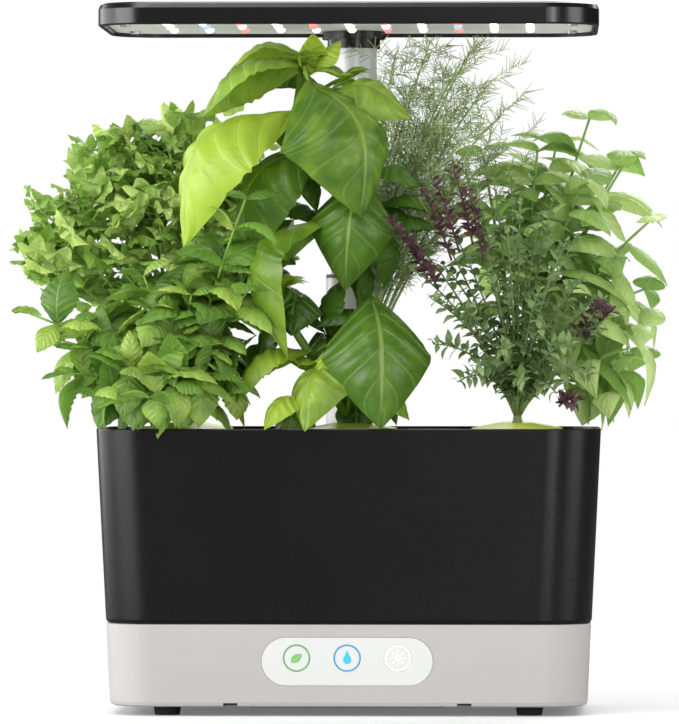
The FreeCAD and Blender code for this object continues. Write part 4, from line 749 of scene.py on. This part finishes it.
for number in range(filler_blades):
    height = filler_low + filler_step * number
    spread = 34 - abs(height - 240) * 0.12
    middle = mm(-12 + chance.uniform(-1, 1) * spread, chance.uniform(-36, -14), height)
    out = Vector((chance.uniform(-1, 1), chance.uniform(-0.7, 0.2), chance.uniform(-0.9, 0.3)))
    end = middle + out.normalized() * filler_length
    end.z = min(end.z, basil_top)
    width = chance.uniform(20, 28)
    # Painted shade: the blades behind get a dark tone and little light.
    tone = chance.uniform(0, 0.35)
    light = chance.uniform(0, 0.3)
    basil_blades.append((middle, end, width, 0.22, 0.0, 0.1, tone, light))
stem_places = [point for stem in basil_stems for point in stem]
for root, tip, width, bend, roll, hang, tone, light in basil_blades:
    nearest = min(stem_places, key=lambda point: (point - root).length)
    halfway = (nearest + root) / 2 + mm(0, 0, 2)
    foot = root + (tip - root) * 0.03
    twig = new_plant_mesh()
    lay_stem(twig, [nearest, halfway, foot], 0.0014, 0.001, 6, 0.8, 0.6)
    lay_blade(twig, broad_blade, root, tip, width / 1000, bend, roll, hang, tone, light)
    add_part(basil, twig)
rosette_blades = 7
for centre in (mm(-22, -58, 182), mm(-24, -38, 344), mm(-2, -38, 336), mm(-34, -50, 226)):
    for number in range(rosette_blades):
        angle = number * spiral_turn
        reach = Vector((math.cos(angle), math.sin(angle) * 0.8, 0.2 + 0.3 * chance.random()))
        long = chance.uniform(0.012, 0.019)
        lay_blade(
            basil, slim_blade, centre, centre + reach * long, long * 0.66, 0.2, 0, 0.1,
            chance.uniform(0.5, 0.9), chance.uniform(0.5, 0.9),
        )
finish_plant("basil", basil, basil_green, "basil_leaf")

# Plants with paired leaves: the tips of their blades stay inside these bounds, in metres, and
# a pair stands at a place along the steps of its stem, just short of the last one.
leaf_low = 0.153
leaf_high = 0.358
leaf_left = -0.180
leaf_right = 0.172
stem_steps = 8
stem_end = 7.999


def leafy_stem(
    mesh, shape, root, tip, rise, thick, pairs, length, breadth, chance,
    spread=0.85, lift=0.1, tones=(0.2, 0.9), lights=(0.1, 0.8), young=0.45,
):
    """A stem with crossed pairs of blades that get smaller towards a rosette at its tip."""
    bend = root + (tip - root) * 0.35 + Vector((0, 0, rise))
    points = curve_points(root, bend, tip, stem_steps)
    stem = new_plant_mesh()
    lay_stem(stem, points, thick, thick * 0.5, 5, 0.7, 0.5)
    for pair in range(pairs):
        share = 1 - spread * pair / pairs
        place = min(share * stem_steps, stem_end)
        index = int(place)
        foot = points[index].lerp(points[index + 1], place - index)
        ahead = (points[index + 1] - points[index]).normalized()
        level = ahead.cross(Vector((0, 0, 1)))
        level = level.normalized() if level.length > 0.1 else Vector((1, 0, 0))
        other = level.cross(ahead).normalized()
        turn = pair * math.pi / 2 + chance.uniform(-0.4, 0.4)
        grown = min(1.0, young + 0.22 * pair)
        for side in (1, -1):
            out = (level * math.cos(turn) + other * math.sin(turn)) * side
            out = (out + Vector((0, -0.15, lift)) + ahead * 0.2).normalized()
            reach = length * grown * chance.uniform(0.8, 1.2)
            end = foot + out * reach
            end.z = min(max(end.z, leaf_low), leaf_high)
            end.x = min(max(end.x, leaf_left), leaf_right)
            # Each blade gets a random painted light level from the lights range.
            lay_blade(
                stem, shape, foot, end, reach * breadth * chance.uniform(0.9, 1.15),
                chance.uniform(0.08, 0.25), chance.uniform(-0.6, 0.6), chance.uniform(0.0, 0.25),
                chance.uniform(*tones), chance.uniform(*lights),
            )
    add_part(mesh, stem)


# Mint in the front left pod: thin stems with crossed pairs of toothed leaves, some of them
# past the rim.
mint_crown = pod_crown("label_1")
mint = new_plant_mesh()
mint_green = leaf_skin(
    "mint_leaf", (0.05, 0.13, 0.015), (0.19, 0.37, 0.05), (0.50, 0.66, 0.12),
    (0.36, 0.54, 0.16), veins=7, gloss=0.42, depth=0.0009,
)
plant_crown(mint, mint_crown, 0.004, 0.5)
mint_tips = [
    (-168, -58, 212), (-150, -72, 180), (-138, -50, 207), (-102, -94, 168), (-68, -62, 196), (-52, -68, 224),
    (-53, -80, 272), (-108, -55, 232), (-122, -66, 190), (-86, -50, 212), (-74, -80, 178), (-130, -78, 170),
    (-112, -30, 220), (-154, -36, 198), (-66, -40, 238), (-94, -76, 198), (-54, -58, 176), (-76, -30, 250),
    (-60, -52, 250), (-118, -84, 182), (-90, -88, 176), (-142, -60, 192), (-82, -70, 222), (-102, -66, 214),
]
chance = random.Random(11)
for tip in mint_tips:
    leafy_stem(
        mint, mint_blade, mint_crown, mm(*tip), 0.018, 0.0012, 6, 0.031, 0.66, chance,
        lights=(0.0, 0.7), young=0.6,
    )
finish_plant("mint", mint, mint_green, "mint_leaf")

# Curly parsley in the rear left pod: long bare stalks that end in short twigs, each twig
# with a frilled fan.
parsley_crown = pod_crown("label_4")
parsley = new_plant_mesh()
parsley_green = leaf_skin(
    "parsley_leaf", (0.07, 0.16, 0.02), (0.24, 0.42, 0.06), (0.54, 0.70, 0.20),
    (0.4, 0.58, 0.2), veins=5, gloss=0.46, depth=0.0008,
)
parsley_fans = 15
parsley_left = -0.176
plant_crown(parsley, parsley_crown, 0.004, 0.6)
parsley_tips = [
    (-115, 30, 308), (-80, 26, 316), (-168, 20, 268), (-142, 58, 286), (-100, 75, 282), (-62, 60, 290),
    (-130, 8, 242), (-168, 45, 232), (-95, 20, 258), (-60, 15, 262), (-138, 24, 302), (-98, 10, 302),
    (-156, 6, 250), (-120, 50, 262), (-76, 40, 276), (-176, 26, 250), (-92, 44, 300), (-126, 34, 284),
    (-50, 34, 250), (-148, 30, 222), (-112, 14, 226), (-70, 20, 236), (-150, 18, 276), (-108, 4, 280),
    (-84, 6, 244), (-140, 10, 262), (-58, 30, 272), (-122, 20, 308), (-66, 16, 300), (-172, 12, 240),
]
chance = random.Random(5)
for tip in parsley_tips:
    end = mm(*tip)
    bend = parsley_crown + (end - parsley_crown) * 0.35 + mm(0, 0, 34)
    points = curve_points(parsley_crown, bend, end)
    stalk = new_plant_mesh()
    lay_stem(stalk, points, 0.0013, 0.0008, 5, 0.7, 0.5)
    for leaflet in range(parsley_fans):
        angle = leaflet * spiral_turn
        foot = points[-1].lerp(points[-2], leaflet * 0.1)
        out = Vector((math.cos(angle), math.sin(angle) - 0.1, chance.uniform(-0.1, 0.8))).normalized()
        hub = foot + out * chance.uniform(0.004, 0.011)
        lay_stem(stalk, [foot, hub], 0.0005, 0.0004, 3, 0.8, 0.7)
        reach = chance.uniform(0.012, 0.019)
        fan = hub + out * reach
        fan.x = max(fan.x, parsley_left)
        # Each fan gets a random tone and a random painted light level.
        lay_blade(
            stalk, lobed_blade, hub, fan, reach * chance.uniform(1.0, 1.25),
            chance.uniform(-0.1, 0.3), chance.uniform(-1.0, 1.0), chance.uniform(-0.3, 0.3),
            chance.uniform(0.2, 1.0), chance.uniform(0.1, 0.95),
        )
    add_part(parsley, stalk)
finish_plant("parsley", parsley, parsley_green, "parsley_leaf")

# Dill in the rear middle pod: pale stalks that lean right, with plumes of fine threads
# along their upper part.
dill_crown = pod_crown("label_5")
dill = new_plant_mesh()
dill_green = leaf_skin(
    "dill_leaf", (0.20, 0.32, 0.10), (0.38, 0.52, 0.20), (0.58, 0.70, 0.36),
    (0.5, 0.62, 0.35), veins=3, gloss=0.5, depth=0.0002,
)
dill_steps = 12
dill_top = 0.3625
plume_top = 0.352
plant_crown(dill, dill_crown, 0.0035, 0.8)
plume_mesh = new_plant_mesh()
chance = random.Random(9)
for thread in range(9):
    base = Vector((0, 0.10 * thread, 0))
    swing = Vector((chance.uniform(-1, 1), chance.uniform(0.3, 0.9), chance.uniform(-1, 1))).normalized()
    lay_stem(plume_mesh, [base, base + swing * chance.uniform(0.4, 0.8)], 0.024, 0.012, 3)
plume = to_data("plume", plume_mesh)


def lay_plume(mesh, foot, way, long, tone, light):
    """Adds one plume of threads, grown along a direction and turned at random about it."""
    verts, faces = stamp(mesh, plume)
    about_way = Matrix.Rotation(chance.uniform(0, 6.28), 3, "Y")
    turn = way.to_track_quat("Y", "Z").to_matrix() @ about_way
    for vert in verts:
        vert.co = foot + turn @ (vert.co * long)
    tint(mesh, faces, tone, light)


dill_tips = [
    (24, 4, 352), (40, 14, 352), (58, 6, 346), (74, 12, 336), (84, 26, 302), (56, 30, 322), (36, 26, 304),
    (26, 18, 276), (68, 8, 290), (48, 0, 330), (64, 18, 354), (30, 10, 328), (80, 8, 318), (46, 24, 286),
    (44, -6, 310), (60, -8, 304), (34, -4, 292), (52, 12, 268), (72, 16, 272), (88, 14, 290),
]
for tip in dill_tips:
    end = mm(*tip)
    bend = dill_crown + (end - dill_crown) * 0.35 + mm(0, 0, 60)
    points = curve_points(dill_crown, bend, end, dill_steps)
    stalk = new_plant_mesh()
    lay_stem(stalk, points, 0.0010, 0.0005, 5, 0.8, 0.6)
    for twig in range(16):
        upper = dill_steps - twig // 2
        foot = points[upper].lerp(points[upper - 1], 0.5 * (twig % 2))
        angle = twig * spiral_turn + chance.random()
        out = Vector((math.cos(angle), math.sin(angle) * 0.7, chance.uniform(0.2, 0.9))).normalized()
        reach = chance.uniform(0.010, 0.016)
        for step in range(3):
            base = foot + out * reach * step * 0.5
            side = Vector((chance.uniform(-1, 1), chance.uniform(-1, 1), chance.uniform(-0.3, 0.8)))
            way = (out + side * 0.7).normalized()
            base.z = min(base.z, plume_top)
            long = chance.uniform(0.009, 0.014)
            # Each plume gets a random tone and a random painted light level.
            tone = chance.uniform(0.4, 1)
            light = chance.uniform(0.2, 1)
            lay_plume(stalk, base, way, long, tone, light)
    add_part(dill, stalk)
for vert in dill.verts:
    vert.co.z = min(vert.co.z, dill_top)
finish_plant("dill", dill, dill_green, "dill_leaf")

# Thai basil in the rear right pod: slim smooth leaves on stems that lean to the right.
thai_crown = pod_crown("label_6")
thai = new_plant_mesh()
thai_green = leaf_skin(
    "thai_leaf", (0.09, 0.20, 0.03), (0.27, 0.46, 0.10), (0.56, 0.72, 0.26),
    (0.46, 0.62, 0.3), veins=6, gloss=0.38, depth=0.0007,
)
plant_crown(thai, thai_crown, 0.004, 0.6)
thai_tips = [
    (128, 40, 318), (110, 62, 304), (146, 30, 292), (160, 20, 262), (158, 34, 226), (152, 48, 190),
    (138, 26, 168), (98, 60, 262), (78, 62, 250), (120, 70, 250), (146, 60, 296), (134, 34, 208),
    (106, 34, 288), (88, 44, 286), (140, 12, 240), (118, 20, 262), (70, 40, 300), (124, 8, 282),
    (156, 10, 206), (146, 16, 182), (100, 20, 300), (130, 50, 232),
]
chance = random.Random(21)
for tip in thai_tips:
    leafy_stem(
        thai, slim_blade, thai_crown, mm(*tip), 0.03, 0.0014, 4, 0.041, 0.46, chance,
        spread=0.55, lift=-0.05, tones=(0.2, 1.0), lights=(0.2, 1.0), young=0.7,
    )
finish_plant("thai_basil", thai, thai_green, "thai_leaf")

# Thyme in the front right pod: wiry stems with small paired leaves, and purple sprigs among
# them.
thyme_crown = pod_crown("label_3")
thyme = new_plant_mesh()
thyme_green = leaf_skin(
    "thyme_leaf", (0.05, 0.10, 0.025), (0.16, 0.27, 0.08), (0.34, 0.44, 0.20),
    (0.2, 0.3, 0.1), veins=3, gloss=0.45, depth=0.0002,
)
thyme_purple = leaf_skin(
    "thyme_purple", (0.045, 0.016, 0.022), (0.10, 0.04, 0.055), (0.17, 0.10, 0.09),
    (0.15, 0.08, 0.1), veins=3, gloss=0.45, depth=0.0002,
)
plant_crown(thyme, thyme_crown, 0.003, 0.7)
thyme_tips = [
    (55, -46, 256), (67, -54, 272), (77, -46, 282), (91, -58, 274), (101, -50, 264), (115, -58, 250),
    (125, -50, 232), (133, -58, 206), (129, -68, 180), (61, -66, 214), (101, -72, 224), (81, -76, 194),
    (45, -60, 196), (50, -40, 238), (70, -30, 266), (86, -24, 286), (108, -30, 272), (120, -36, 252),
    (136, -44, 220), (118, -72, 196), (92, -80, 176), (68, -74, 184), (28, -54, 258), (38, -48, 272),
    (58, -72, 176), (110, -62, 170), (44, -66, 220), (74, -66, 236), (96, -40, 250), (126, -62, 214),
    (34, -60, 236), (84, -60, 258), (62, -50, 286), (104, -66, 206),
]
chance = random.Random(14)
for tip in thyme_tips:
    leafy_stem(
        thyme, tiny_blade, thyme_crown, mm(*tip), 0.026, 0.0008, 18, 0.0078, 0.5, chance,
        lift=0.4, young=0.6,
    )
sprig_tips = [
    (46, -62, 282), (56, -60, 288), (40, -58, 276), (22, -62, 262), (30, -64, 254),
    (140, -50, 214), (134, -60, 218), (121, -74, 166), (64, -62, 276),
]
sprigs = new_plant_mesh()
for tip in sprig_tips:
    end = mm(*tip)
    foot = end + (thyme_crown - end) * 0.3
    leafy_stem(
        sprigs, tiny_blade, foot, end, 0.004, 0.0007, 14, 0.0068, 0.5, chance,
        spread=0.95, lift=0.4, young=0.7,
    )
new_piece("thyme_sprigs", sprigs, "tank", "thyme_leaf", thyme_purple)
finish_plant("thyme", thyme, thyme_green, "thyme_leaf")
